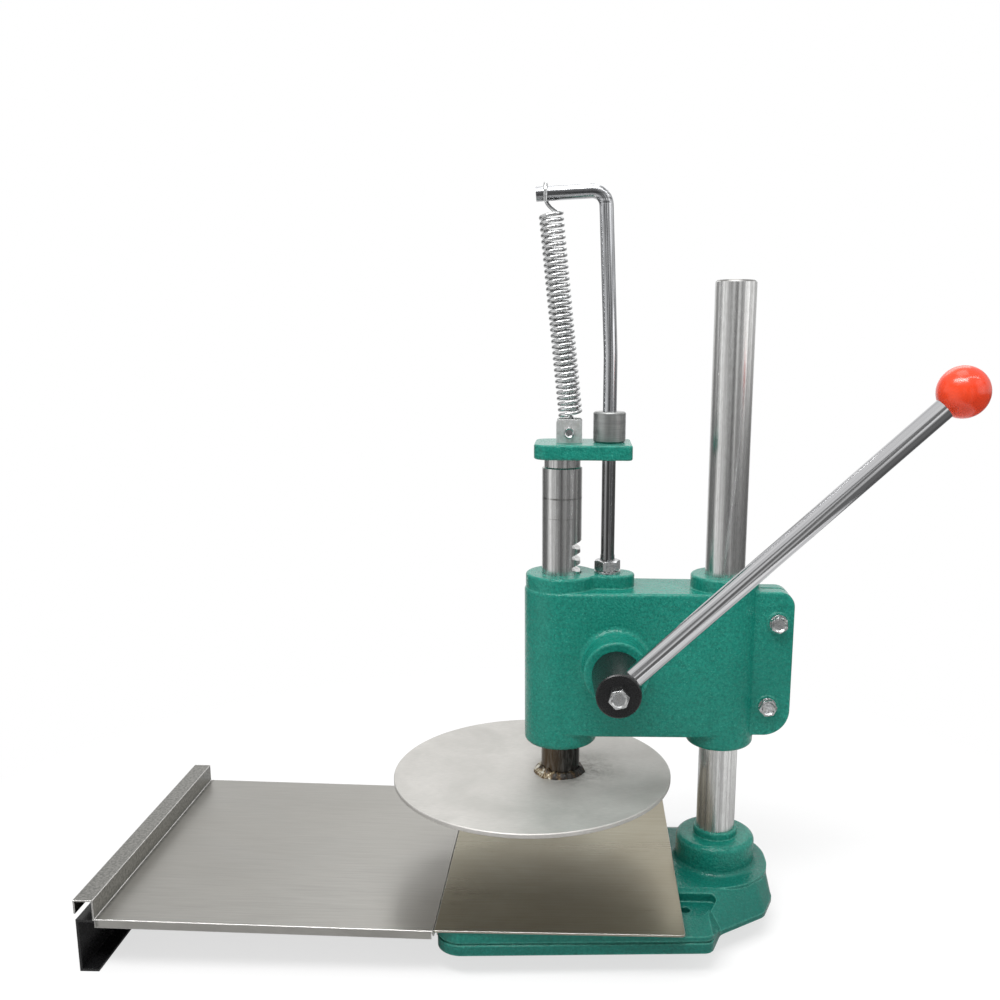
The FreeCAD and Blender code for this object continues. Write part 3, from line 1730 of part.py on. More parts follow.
def make_spring():
    wire = float(size("spring_wire"))
    route = spring_route()
    gap, length = least_gap(route, wire)
    print("return spring: wire length", round(length, 1), "least gap to itself", round(gap, 2))
    edges = [
        (Part.LineSegment(*piece) if len(piece) == 2 else Part.Arc(*piece)).toShape() for piece in route
    ]
    path = Part.Wire(edges)
    start, way = route[0][0], (route[0][1] - route[0][0]).normalize()
    section = Part.Wire([Part.Circle(start, way, wire / 2).toShape()])
    shell = Part.BRepOffsetAPI.MakePipeShell(path)
    shell.add(section)
    shell.build()
    shell.makeSolid()
    tube = shell.shape()
    expected = math.pi * (wire / 2) ** 2 * path.Length
    print("return spring volume against section times length:", round(tube.Volume / expected, 5))
    spring = doc.addObject("Part::Feature", "return_spring")
    spring.Shape = tube
    spring.Placement = Placement()
    spring.Label = "return_spring"
    return spring


keep(make_cover())
keep(group("cover_screws", at_each("cover_screw", make_cover_screw, cover_screw_spots)))
keep(make_bush("front_bush", boss_front, cavity_floor))
keep(make_bush("rear_bush", spigot_inner, cover_end))
keep(group("clamp_bolts", at_each("clamp_bolt", make_clamp_bolt, clamp_spots)))
keep(
    group(
        "clamp_washers",
        at_each("front_washer", make_front_washer, clamp_spots)
        + at_each("rear_washer", make_rear_washer, clamp_spots),
    )
)
keep(group("clamp_nuts", at_each("clamp_nut", make_clamp_nut, clamp_spots)))
keep(make_ram())
keep(make_disc())
keep(make_weld())
keep(make_gear())
keep(make_shaft())
keep(make_key("pinion_key", pinion_key_span))
keep(make_key("hub_key", hub_key_span))
keep(make_ring())
keep(make_hub())
keep(make_hub_bolt())
keep(make_lever())
keep(make_knob())
keep(make_bracket())
keep(make_bracket_bolt())
keep(make_lug())
keep(make_lug_bolt())
keep(
    hex_nut("lug_nut", 8, size("lug_bolt") / 2, lug_outer, lug_outer + 4, lug_axis, "y")
)
keep(make_rod())
keep(
    hex_nut(
        "rod_lock_nut",
        size("nut_flats"),
        size("rod_thread") / 2,
        pad_top + size("washer_thickness"),
        pad_top + size("washer_thickness") + size("nut_height"),
        rod_spot,
    )
)
keep(washer("rod_washer", 11, size("rod_thread") / 2, pad_top, pad_top + size("washer_thickness"), rod_spot))
keep(make_collar())
keep(cylinder("collar_screw", 3, rod_radius, size("collar_diameter") / 2 - 0.6, collar_screw_spot, "y"))
keep(make_spring())

doc.recompute()
for item in doc.Objects:
    if "Invalid" in item.State or "Error" in item.State:
        raise RuntimeError(f"{item.Label} failed to build: {item.State}")
for item in PIECES:
    if item.Shape.isNull() or not item.Shape.isValid():
        raise RuntimeError(f"{item.Label} has no valid shape")

# The part's own origin is the middle of its footprint, on the surface it stands on.
knob_far = gear_x + size("lever_reach") * lever_cos + knob_radius
footprint_middle = (float(channel_left) + float(knob_far)) / 2
for item in PIECES:
    shape = item.Shape.copy()
    shape.translate(Vector(-footprint_middle, 0, 0))
    shape.exportStep(f"parts/{item.Label}.step")
print("the ram's axis lies at X =", round(-footprint_middle, 3))
print(len(PIECES), "pieces written")
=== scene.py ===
import json
import math

import bmesh
import bpy
from mathutils import Matrix, Vector
from mathutils import noise as cloud


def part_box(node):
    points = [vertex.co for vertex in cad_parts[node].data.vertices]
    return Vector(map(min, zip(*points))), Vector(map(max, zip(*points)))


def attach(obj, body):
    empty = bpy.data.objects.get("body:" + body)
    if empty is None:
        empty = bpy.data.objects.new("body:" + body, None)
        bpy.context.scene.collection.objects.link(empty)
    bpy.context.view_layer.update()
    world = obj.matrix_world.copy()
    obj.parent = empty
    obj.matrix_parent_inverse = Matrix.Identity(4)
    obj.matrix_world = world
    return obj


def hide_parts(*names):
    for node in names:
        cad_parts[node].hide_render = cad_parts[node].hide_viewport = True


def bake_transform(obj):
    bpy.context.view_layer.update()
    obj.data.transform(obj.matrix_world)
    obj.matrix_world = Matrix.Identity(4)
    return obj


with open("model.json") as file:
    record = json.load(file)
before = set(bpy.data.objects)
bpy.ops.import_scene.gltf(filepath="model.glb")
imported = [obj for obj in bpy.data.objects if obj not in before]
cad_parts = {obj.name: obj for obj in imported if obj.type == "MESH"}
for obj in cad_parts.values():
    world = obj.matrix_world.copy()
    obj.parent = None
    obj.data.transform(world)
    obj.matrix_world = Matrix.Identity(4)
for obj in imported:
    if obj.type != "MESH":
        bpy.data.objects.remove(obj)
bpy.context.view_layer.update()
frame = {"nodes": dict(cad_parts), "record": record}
nodes = frame["nodes"]
scene = bpy.context.scene
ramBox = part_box("ram")
ramAxis = (ramBox[0].x + ramBox[1].x) / 2  # the press is drawn about this line
print("frame loaded,", len(nodes), "nodes, ram axis at x =", round(ramAxis, 5))


def newMaterial(name):
    material = bpy.data.materials.new(name)
    material.use_nodes = True
    tree = material.node_tree
    tree.nodes.clear()
    output = tree.nodes.new("ShaderNodeOutputMaterial")
    shader = tree.nodes.new("ShaderNodeBsdfPrincipled")
    tree.links.new(shader.outputs["BSDF"], output.inputs["Surface"])
    return material, tree, shader


def addNode(tree, kind, **settings):
    node = tree.nodes.new(kind)
    for key, value in settings.items():
        setattr(node, key, value)
    return node


def objectPoint(tree, scale=(1, 1, 1), location=(0, 0, 0), tilt=0.0):
    # object coordinates, first tilted about Y so that a sloping bar stands upright, then stretched
    place = addNode(tree, "ShaderNodeTexCoord")
    upright = addNode(tree, "ShaderNodeMapping")
    upright.inputs["Rotation"].default_value = (0, math.radians(tilt), 0)
    upright.inputs["Location"].default_value = location
    mapping = addNode(tree, "ShaderNodeMapping")
    mapping.inputs["Scale"].default_value = scale
    tree.links.new(place.outputs["Object"], upright.inputs["Vector"])
    tree.links.new(upright.outputs["Vector"], mapping.inputs["Vector"])
    return mapping.outputs["Vector"]


def noise(tree, point, scale, detail=2.0, rough=0.5, distortion=0.0):
    node = addNode(tree, "ShaderNodeTexNoise")
    node.inputs["Scale"].default_value = scale
    node.inputs["Detail"].default_value = detail
    node.inputs["Roughness"].default_value = rough
    node.inputs["Distortion"].default_value = distortion
    tree.links.new(point, node.inputs["Vector"])
    return node.outputs["Fac"]


def ramp(tree, value, stops):
    node = addNode(tree, "ShaderNodeValToRGB")
    points = node.color_ramp.elements
    while len(points) < len(stops):
        points.new(0.5)
    for point, (position, colour) in zip(points, stops):
        point.position = position
        point.color = (*colour, 1.0)
    tree.links.new(value, node.inputs["Fac"])
    return node.outputs["Color"]


def mapRange(tree, value, low, high, toLow=0.0, toHigh=1.0):
    node = addNode(tree, "ShaderNodeMapRange")
    for name, number in (("From Min", low), ("From Max", high), ("To Min", toLow), ("To Max", toHigh)):
        node.inputs[name].default_value = number
    tree.links.new(value, node.inputs["Value"])
    return node.outputs["Result"]


def maths(tree, operation, first, second):
    node = addNode(tree, "ShaderNodeMath", operation=operation)
    for slot, value in zip(node.inputs, (first, second)):
        if isinstance(value, (int, float)):
            slot.default_value = value
        else:
            tree.links.new(value, slot)
    return node.outputs[0]


def mixColour(tree, factor, first, second):
    node = addNode(tree, "ShaderNodeMix", data_type="RGBA")
    for index, value in ((0, factor), (6, first), (7, second)):
        slot = node.inputs[index]
        if isinstance(value, (int, float)):
            slot.default_value = value
        elif isinstance(value, tuple):
            slot.default_value = (*value, 1.0)
        else:
            tree.links.new(value, slot)
    return node.outputs[2]


def bump(tree, shader, height, strength, distance, under=None):
    # roughens the surface under it; without a shader the normal goes on to the next bump
    node = addNode(tree, "ShaderNodeBump")
    node.inputs["Strength"].default_value = strength
    node.inputs["Distance"].default_value = distance
    tree.links.new(height, node.inputs["Height"])
    if under is not None:
        tree.links.new(under, node.inputs["Normal"])
    if shader is not None:
        tree.links.new(node.outputs["Normal"], shader.inputs["Normal"])
    return node.outputs["Normal"]


def softEdges(tree, radius):
    edges = addNode(tree, "ShaderNodeBevel", samples=4)
    edges.inputs["Radius"].default_value = radius
    return edges.outputs["Normal"]


flatEdge, sharpEdge = 0.985, 0.88  # cosines between the true normal and the rounded one


def highlightAndWearEdges(tree, radius):
    # 1 along sharp edges and folds; there paint gets a painted highlight, and sheet metal a painted highlight
    # with rubbed bright metal
    face = addNode(tree, "ShaderNodeNewGeometry")
    turn = addNode(tree, "ShaderNodeVectorMath", operation="DOT_PRODUCT")
    tree.links.new(softEdges(tree, radius), turn.inputs[0])
    tree.links.new(face.outputs["Normal"], turn.inputs[1])
    return mapRange(tree, turn.outputs["Value"], flatEdge, sharpEdge)


def along(tree, axis):
    # the place on one axis in metres, from the middle of the press or from the table
    place = addNode(tree, "ShaderNodeTexCoord")
    split = addNode(tree, "ShaderNodeSeparateXYZ")
    tree.links.new(place.outputs["Object"], split.inputs[0])
    return split.outputs[axis]


def heightAbove(tree, low, high):
    # 0 below low and 1 above high
    return mapRange(tree, along(tree, "Z"), low, high)


def rightOf(tree, left, right):
    # 0 left of the first line and 1 right of the second, seen from the front
    return mapRange(tree, along(tree, "X"), left, right)


def ringAround(tree, centre, inner, outer):
    # 1 inside the inner radius and 0 outside the outer one, seen from above
    place = objectPoint(tree, location=(-centre[0], -centre[1], 0))
    flat = addNode(tree, "ShaderNodeVectorMath", operation="MULTIPLY")
    tree.links.new(place, flat.inputs[0])
    flat.inputs[1].default_value = (1, 1, 0)
    reach = addNode(tree, "ShaderNodeVectorMath", operation="LENGTH")
    tree.links.new(flat.outputs[0], reach.inputs[0])
    return mapRange(tree, reach.outputs["Value"], inner, outer, 1.0, 0.0)


# In the looks below, a span holds two values of a noise texture, and what it drives runs from none at
# the first to all at the second. Colours are linear, depths and radii are metres.
noiseSpan = (0.3, 0.7)


def hammeredPaint(name, look):
    # glossy enamel that dries into small dimples, with lighter flecks of flake pigment
    material, tree, shader = newMaterial(name)
    point = objectPoint(tree)
    cells = addNode(tree, "ShaderNodeTexVoronoi", feature="SMOOTH_F1")
    cells.inputs["Scale"].default_value = look["dimplesPerMetre"]
    cells.inputs["Smoothness"].default_value = look["dimpleSmoothness"]
    wobble = addNode(tree, "ShaderNodeTexNoise")
    wobble.inputs["Scale"].default_value = look["stirsPerMetre"]
    stirred = addNode(tree, "ShaderNodeVectorMath", operation="MULTIPLY_ADD")
    tree.links.new(point, wobble.inputs["Vector"])
    tree.links.new(wobble.outputs["Color"], stirred.inputs[0])
    stirred.inputs[1].default_value = (look["stir"],) * 3
    tree.links.new(point, stirred.inputs[2])
    tree.links.new(stirred.outputs[0], cells.inputs["Vector"])
    speckle = noise(tree, point, look["specklesPerMetre"], detail=3.0, rough=0.75)
    flakes = noise(tree, point, look["flakesPerMetre"], rough=0.8)
    clouds = noise(tree, point, look["cloudsPerMetre"], detail=3.0, rough=0.55)
    tint = ramp(tree, speckle, look["shades"])
    flecked = mapRange(tree, flakes, *look["flakeSpan"], 0.0, look["flakeWeight"])
    tint = mixColour(tree, flecked, tint, look["flake"])
    clouded = mapRange(tree, clouds, *look["cloudSpan"], 0.0, look["cloudWeight"])
    tint = mixColour(tree, clouded, tint, look["cloud"])
    # painted shade: the paint darkens towards the table, where the base stands in shade
    low = mapRange(tree, heightAbove(tree, 0.0, look["paintedShadeHeight"]), 0.0, 1.0, look["paintedShadeWeight"], 0.0)
    tint = mixColour(tree, low, tint, look["grimeAndShade"])
    # painted highlight: the paint is lightened along sharp edges, as if they caught the light
    paintedEdgeHighlight = mapRange(tree, speckle, *look["edgeSpan"], look["edgeLeast"], look["edgeWeight"])
    paintedEdgeHighlight = maths(tree, "MULTIPLY", highlightAndWearEdges(tree, look["edgeRadius"]), paintedEdgeHighlight)
    tint = mixColour(tree, paintedEdgeHighlight, tint, look["edge"])
    tree.links.new(tint, shader.inputs["Base Color"])
    rough = mapRange(tree, speckle, *look["roughSpan"], look["roughLow"], look["roughHigh"])
    tree.links.new(rough, shader.inputs["Roughness"])
    shader.inputs["Specular IOR Level"].default_value = look["gloss"]
    edges = softEdges(tree, look["edgeRadius"])
    waves = noise(tree, point, look["wavesPerMetre"])
    waves = bump(tree, None, waves, look["wave"], look["waveDepth"], edges)
    grains = bump(tree, None, speckle, look["grain"], look["grainDepth"], waves)
    bump(tree, shader, cells.outputs["Distance"], look["dimple"], look["dimpleDepth"], grains)
    return material


def brushedSheet(name, look):
    # fine lines along one axis, slow cloudy wear on top, and what each piece picks up in use; the disc's dark
    # patch is partly painted shade, and edges and folds carry a painted highlight
    material, tree, shader = newMaterial(name)
    lines = noise(tree, objectPoint(tree, look["lineScale"]), 1.0, detail=4.0, rough=0.65)
    clouds = noise(tree, objectPoint(tree), look["cloudsPerMetre"], detail=4.0, rough=0.6, distortion=0.4)
    smears = noise(tree, objectPoint(tree, look["smearScale"]), 1.0, detail=3.0)
    tint = mixColour(tree, mapRange(tree, lines, *noiseSpan), look["dark"], look["light"])
    clouded = mapRange(tree, clouds, *look["cloudSpan"], 0.0, look["cloudWeight"])
    tint = mixColour(tree, clouded, tint, look["cloud"])
    # a dark patch beside the ram: partly a real stain, partly painted shade under the head
    if "stainAndShade" in look:
        patches = noise(tree, objectPoint(tree), look["stainPatches"], detail=4.0, rough=0.7)
        patches = mapRange(tree, patches, *look["stainSpan"], look["stainLeast"])
        around = ringAround(tree, look["stainAt"], look["stainInner"], look["stainOuter"])
        spread = maths(tree, "MULTIPLY", around, patches)
        tint = mixColour(tree, maths(tree, "MULTIPLY", spread, look["stainAndShadeWeight"]), tint, look["stainAndShade"])
    if "grimeAndShade" in look:
        speckle = noise(tree, objectPoint(tree), look["grimePatches"], detail=3.0, rough=0.75)
        speckle = mapRange(tree, speckle, *look["grimeSpan"], *look["grimeWeights"])
        left = mapRange(tree, along(tree, "X"), *look["grimeLines"], 1.0, 0.0)
        grimy = maths(tree, "MULTIPLY", left, speckle)
        tint = mixColour(tree, grimy, tint, look["grimeAndShade"])
    # lighter along edges and folds: partly rubbed bright metal and partly a painted highlight where a rounded
    # bend would catch the light
    rubbed = maths(tree, "MULTIPLY", highlightAndWearEdges(tree, look["edgeRadius"]), look["edgeWeight"])
    tint = mixColour(tree, rubbed, tint, look["edge"])
    tree.links.new(tint, shader.inputs["Base Color"])
    shader.inputs["Metallic"].default_value = look["metallic"]
    smeared = mapRange(tree, smears, *noiseSpan, look["roughLow"], look["roughHigh"])
    lined = mapRange(tree, lines, *noiseSpan, -look["lineRoughness"], look["lineRoughness"])
    tree.links.new(maths(tree, "ADD", smeared, lined), shader.inputs["Roughness"])
    bump(tree, shader, lines, look["bump"], look["lineDepth"], softEdges(tree, look["edgeRadius"]))
    return material


def barSteel(name, look):
    # a drawn and ground bar: long draw lines, a finer grain of its own, a few handling marks
    material, tree, shader = newMaterial(name)
    tilt = look.get("tilt", 0.0)
    lines = noise(tree, objectPoint(tree, look["lineScale"], tilt=tilt), 1.0, detail=3.0, rough=0.6)
    if "armAbove" in look:
        across = noise(tree, objectPoint(tree, look["armScale"]), 1.0, detail=3.0, rough=0.6)
        arm = heightAbove(tree, look["armAbove"], look["armAbove"] + look["armBlend"])
        upright = maths(tree, "MULTIPLY", lines, maths(tree, "SUBTRACT", 1.0, arm))
        lines = maths(tree, "ADD", upright, maths(tree, "MULTIPLY", across, arm))
    grain = noise(tree, objectPoint(tree, look["grainScale"], tilt=tilt), 1.0, detail=3.0, rough=0.6)
    marks = noise(tree, objectPoint(tree, look["markScale"]), 1.0, detail=5.0, rough=0.65, distortion=0.6)
    tint = mixColour(tree, mapRange(tree, lines, *look["lineSpan"]), look["dark"], look["light"])
    for pattern, span, weight in ((grain, "grainSpan", "grainWeight"), (marks, "markSpan", "markWeight")):
        tint = mixColour(tree, mapRange(tree, pattern, *look[span], 0.0, look[weight]), tint, look["mark"])
    if "heat" in look:
        streaks = noise(tree, objectPoint(tree, look["heatScale"]), 1.0, detail=4.0, rough=0.7)
        low = maths(tree, "SUBTRACT", 1.0, heightAbove(tree, look["heatBottom"], look["heatTop"]))
        heated = maths(tree, "MULTIPLY", low, mapRange(tree, streaks, *look["heatSpan"], look["heatLeast"]))
        burnt = look["heat"]
        # towards the right the heat colour turns dark: partly soot and partly painted shade on the side away
        # from the light
        if "soot" in look:
            burnt = mixColour(tree, rightOf(tree, *look["sootAndShadeFrom"]), burnt, look["soot"])
        tint = mixColour(tree, maths(tree, "MULTIPLY", heated, look["heatWeight"]), tint, burnt)
    for height, width, weight in look.get("scores", ()):
        ragged = noise(tree, objectPoint(tree, look["scoreScale"]), 1.0, detail=3.0, rough=0.6)
        above = heightAbove(tree, height - width, height)
        below = maths(tree, "SUBTRACT", 1.0, heightAbove(tree, height, height + width))
        ragged = mapRange(tree, ragged, *look["scoreSpan"], 0.0, weight)
        cutIn = maths(tree, "MULTIPLY", maths(tree, "MULTIPLY", above, below), ragged)
        tint = mixColour(tree, cutIn, tint, look["score"])
    if "sawnEnd" in look:
        end = heightAbove(tree, *(look["sawnEnd"] - below for below in look["sawnBand"]))
        tint = mixColour(tree, maths(tree, "MULTIPLY", end, look["sawnWeight"]), tint, look["score"])
    tree.links.new(tint, shader.inputs["Base Color"])
    shader.inputs["Metallic"].default_value = 1.0
    rough = mapRange(tree, lines, *noiseSpan, look["roughHigh"], look["roughLow"])
    tree.links.new(rough, shader.inputs["Roughness"])
    edges = softEdges(tree, look["edgeRadius"]) if "edgeRadius" in look else None
    bump(tree, shader, grain, look["bump"], look["grainDepth"], edges)
    return material


def weldMetal(name, look):
    # a rough bead: scale and soot in the valleys, straw and brown heat colours, bare metal on the crests;
    # towards the left bare metal is a painted highlight, towards the right darkness is painted shade
    material, tree, shader = newMaterial(name)
    point = objectPoint(tree)
    patches = noise(tree, point, look["patchesPerMetre"], detail=4.0, rough=0.7)
    grain = noise(tree, point, look["grainPerMetre"], detail=3.0, rough=0.7)
    # painted light: the bead is lightened towards the left as a painted highlight and darkened towards the
    # right as painted shade
    paintedSideLight = mapRange(tree, rightOf(tree, *look["sootAndShadeFrom"]), 0.0, 1.0, *look["sootShifts"])
    tint = ramp(tree, maths(tree, "SUBTRACT", patches, paintedSideLight), look["shades"])
    sooted = mapRange(tree, grain, *look["sootSpan"], 0.0, look["sootWeight"])
    tree.links.new(mixColour(tree, sooted, tint, look["soot"]), shader.inputs["Base Color"])
    tree.links.new(mapRange(tree, patches, *look["bareSpan"], *look["metallic"]), shader.inputs["Metallic"])
    rough = mapRange(tree, grain, *noiseSpan, look["roughLow"], look["roughHigh"])
    tree.links.new(rough, shader.inputs["Roughness"])
    bump(tree, shader, grain, look["bump"], look["grainDepth"])
    return material


def plainPaint(name, look):
    material, tree, shader = newMaterial(name)
    grain = noise(tree, objectPoint(tree), look["grainPerMetre"], detail=3.0, rough=0.6)
    tint = mixColour(tree, mapRange(tree, grain, *look["grainSpan"]), look["dark"], look["light"])
    if "rub" in look:
        rubs = noise(tree, objectPoint(tree, look["rubScale"]), 1.0, detail=5.0, rough=0.7, distortion=0.5)
        rubbed = mapRange(tree, rubs, *look["rubSpan"], 0.0, look["rubWeight"])
        tint = mixColour(tree, rubbed, tint, look["rub"])
    tree.links.new(tint, shader.inputs["Base Color"])
    rough = mapRange(tree, grain, *noiseSpan, look["roughLow"], look["roughHigh"])
    tree.links.new(rough, shader.inputs["Roughness"])
    shader.inputs["Specular IOR Level"].default_value = look["gloss"]
    bump(tree, shader, grain, look["bump"], look["grainDepth"], softEdges(tree, look["edgeRadius"]))
    return material


greenLook = {
    "dimplesPerMetre": 560.0, "dimpleSmoothness": 0.8, "dimple": 0.55, "dimpleDepth": 0.0006,
    "stirsPerMetre": 336.0, "stir": 0.0014, "specklesPerMetre": 430.0, "grain": 0.5, "grainDepth": 0.0005,
    "shades": ((0.34, (0.005, 0.138, 0.104)), (0.49, (0.008, 0.188, 0.141)), (0.66, (0.014, 0.242, 0.182))),
    "flakesPerMetre": 640.0, "flake": (0.08, 0.46, 0.36), "flakeSpan": (0.6, 0.72), "flakeWeight": 0.45,
    "cloudsPerMetre": 13.0, "cloud": (0.006, 0.152, 0.114), "cloudSpan": (0.4, 0.7), "cloudWeight": 0.4,
    # the dark green low on the castings is painted shade near the table
    "grimeAndShade": (0.001, 0.052, 0.044), "paintedShadeHeight": 0.066, "paintedShadeWeight": 0.95,
    # the light green along edges is a painted highlight
    "edge": (0.10, 0.44, 0.35), "edgeSpan": (0.35, 0.6), "edgeLeast": 0.3, "edgeWeight": 0.6,
    "edgeRadius": 0.0022, "wavesPerMetre": 70.0, "wave": 0.4, "waveDepth": 0.0015,
    "roughSpan": (0.35, 0.65), "roughLow": 0.15, "roughHigh": 0.22, "gloss": 0.3,
}
sheetLook = {
    "lineScale": (26.0, 1500.0, 60.0), "dark": (0.345, 0.337, 0.316), "light": (0.435, 0.425, 0.40),
    "lineDepth": 0.00012, "lineRoughness": 0.03, "bump": 0.22, "smearScale": (5.0, 18.0, 5.0),
    "cloudsPerMetre": 9.0, "cloud": (0.365, 0.35, 0.318), "cloudSpan": (0.35, 0.75), "cloudWeight": 0.4,
    # the near white along edges and folds is partly rubbed metal and partly a painted highlight
    "edge": (0.92, 0.91, 0.89), "edgeWeight": 0.9, "edgeRadius": 0.0011,
    "metallic": 1.0, "roughLow": 0.33, "roughHigh": 0.42,
}
trayLook = dict(
    sheetLook, grimeAndShade=(0.17, 0.17, 0.16), grimePatches=420.0, grimeLines=(-0.3215, -0.3195),
    grimeSpan=(0.4, 0.62), grimeWeights=(0.25, 0.95))
plateLook = dict(
    sheetLook, dark=(0.285, 0.262, 0.198), light=(0.36, 0.34, 0.27), cloud=(0.235, 0.202, 0.14),
    cloudWeight=0.6, roughLow=0.26, roughHigh=0.36, edgeRadius=0.0006)
discLook = dict(
    sheetLook, dark=(0.47, 0.458, 0.436), light=(0.555, 0.54, 0.515), lineScale=(160.0, 700.0, 160.0),
    cloud=(0.37, 0.36, 0.34), cloudsPerMetre=16.0, cloudWeight=0.7,
    # the dark patch right of the ram is partly a stain and partly painted shade under the head
    stainAndShade=(0.15, 0.145, 0.125), stainAt=(ramAxis + 0.015, 0.004), stainInner=0.014, stainOuter=0.046,
    stainPatches=130.0, stainSpan=(0.38, 0.62), stainLeast=0.15, stainAndShadeWeight=0.7,
    metallic=0.6, roughLow=0.5, roughHigh=0.6, edgeRadius=0.0005, edgeWeight=0.5)
columnLook = {
    "lineScale": (420.0, 420.0, 1.6), "lineSpan": (0.36, 0.62), "dark": (0.50, 0.50, 0.495),
    "light": (0.86, 0.86, 0.85), "grainScale": (900.0, 900.0, 160.0), "grainSpan": (0.4, 0.7),
    "grainWeight": 0.3, "grainDepth": 0.0001, "bump": 0.06, "mark": (0.34, 0.33, 0.31),
    "markScale": (60.0, 60.0, 22.0), "markSpan": (0.58, 0.8), "markWeight": 0.3,
    "roughLow": 0.19, "roughHigh": 0.31,
}
postLook = dict(
    columnLook, sawnEnd=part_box("column")[1].z, sawnBand=(0.0016, 0.0008), sawnWeight=0.85,
    score=(0.16, 0.155, 0.145))
ramLook = dict(
    columnLook, dark=(0.34, 0.34, 0.34), light=(0.84, 0.84, 0.83), markWeight=0.5,
    heat=(0.095, 0.066, 0.040), heatBottom=0.148, heatTop=0.18, heatWeight=1.0,
    heatScale=(420.0, 420.0, 60.0), heatSpan=(0.35, 0.55), heatLeast=0.86,
    # the ram's foot darkens to the right: partly soot, partly painted shade
    soot=(0.028, 0.027, 0.025), sootAndShadeFrom=(ramAxis - 0.013, ramAxis + 0.004),
    scores=((0.3605, 0.0011, 0.9), (0.344, 0.0006, 0.5)), score=(0.05, 0.045, 0.04),
    scoreScale=(130.0, 130.0, 9.0), scoreSpan=(0.4, 0.6))
rodLook = dict(
    columnLook, dark=(0.16, 0.165, 0.175), light=(0.62, 0.63, 0.65), roughLow=0.13, roughHigh=0.28,
    armAbove=0.589, armBlend=0.004, armScale=(1.6, 420.0, 420.0),
    heat=(0.07, 0.066, 0.06), heatBottom=0.385, heatTop=0.41, heatWeight=0.5,
    heatScale=(420.0, 420.0, 60.0), heatSpan=(0.35, 0.55), heatLeast=0.86)
collarLook = dict(
    columnLook, lineScale=(40.0, 40.0, 900.0), dark=(0.30, 0.31, 0.305), light=(0.40, 0.41, 0.405),
    roughLow=0.32, roughHigh=0.45, bump=0.2)
chromeLook = dict(
    columnLook, lineScale=(300.0, 300.0, 1.2), tilt=-46.7, dark=(0.44, 0.44, 0.455),
    light=(0.76, 0.76, 0.77), markWeight=0.06, grainWeight=0.0, roughLow=0.12, roughHigh=0.17, bump=0.0)
springLook = dict(
    columnLook, lineScale=(420.0, 420.0, 420.0), dark=(0.44, 0.45, 0.46), light=(0.74, 0.75, 0.76),
    mark=(0.42, 0.40, 0.33), roughLow=0.18, roughHigh=0.34, bump=0.08)
zincLook = dict(springLook, dark=(0.40, 0.41, 0.42), light=(0.66, 0.67, 0.68), edgeRadius=0.0005)
# the lug's zinc is a lighter, rougher copy of the plating, a painted highlight that makes it look lit
litLugLook = dict(
    springLook, dark=(0.60, 0.61, 0.61), light=(0.80, 0.81, 0.81), roughLow=0.42, roughHigh=0.55,
    edgeRadius=0.0005)
bronzeLook = dict(
    columnLook, lineScale=(40.0, 40.0, 900.0), dark=(0.42, 0.27, 0.12), light=(0.56, 0.38, 0.18),
    roughLow=0.25, roughHigh=0.4)
soot = (0.016, 0.013, 0.010)
weldLook = {
    "shades": (
        (0.40, soot), (0.49, (0.075, 0.045, 0.022)), (0.57, (0.26, 0.20, 0.11)), (0.62, (0.72, 0.70, 0.62)),
    ),
    # the shift on the left is a painted highlight, the shift on the right painted shade
    "soot": soot, "sootAndShadeFrom": (ramAxis - 0.016, ramAxis + 0.002), "sootShifts": (-0.06, 0.12),
    "sootSpan": (0.5, 0.75), "sootWeight": 0.5, "patchesPerMetre": 190.0, "grainPerMetre": 900.0,
    "bareSpan": (0.4, 0.7), "metallic": (0.15, 0.85), "roughLow": 0.35, "roughHigh": 0.65,
    "bump": 0.6, "grainDepth": 0.0004,
}
paintLook = {"grainSpan": (0.35, 0.7), "grainDepth": 0.0002, "edgeRadius": 0.0007}
blackLook = dict(
    paintLook, grainPerMetre=900.0, dark=(0.005, 0.005, 0.0055), light=(0.012, 0.012, 0.0125),
    rub=(0.045, 0.045, 0.045), rubScale=(30.0, 30.0, 90.0), rubSpan=(0.6, 0.78), rubWeight=0.5,
    roughLow=0.22, roughHigh=0.36, gloss=0.35, bump=0.2)
knobLook = dict(
    paintLook, grainPerMetre=30.0, dark=(0.68, 0.038, 0.009), light=(0.78, 0.060, 0.015),
    roughLow=0.17, roughHigh=0.22, gloss=0.5, bump=0.02)
rubberLook = dict(
    paintLook, grainPerMetre=1400.0, dark=(0.012, 0.012, 0.012), light=(0.028, 0.028, 0.028),
    roughLow=0.65, roughHigh=0.85, gloss=0.4, bump=0.4)

finishes = {
    "green_paint": hammeredPaint("greenHammeredPaint", greenLook),
    "stainless_sheet": brushedSheet("brushedStainless", sheetLook),
    "ground_steel": barSteel("groundSteel", columnLook),
    "dull_steel": barSteel("drawnSteel", rodLook),
    "chrome": barSteel("leverChrome", chromeLook),
    "zinc_plate": barSteel("brightZinc", zincLook),
    "bronze": barSteel("turnedBronze", bronzeLook),
    "black_hub": plainPaint("blackHub", blackLook),
    "black_paint": plainPaint("blackPaint", blackLook),
    "red_plastic": plainPaint("redKnob", knobLook),
    "rubber": plainPaint("blackRubber", rubberLook),
}
ownFinish = {
    "press_disc": brushedSheet("brushedDisc", discLook),
    "base_plate": brushedSheet("dullPlate", plateLook),
    "tray": brushedSheet("traySheet", trayLook),
    "ram": barSteel("ramSteel", ramLook),
    "stop_collar": barSteel("collarSteel", collarLook),
    "column": barSteel("columnSteel", postLook),
    "spring_lug": barSteel("litLugZinc", litLugLook),
}

slotOf = {entry["node"]: entry["material_slot"] for entry in frame["record"]["subparts"]}
for name, node in nodes.items():
    finish = ownFinish.get(name) or finishes[slotOf[name]]
    node.data.materials.clear()
    node.data.materials.append(finish)
print("finishes set on", len(nodes), "nodes")


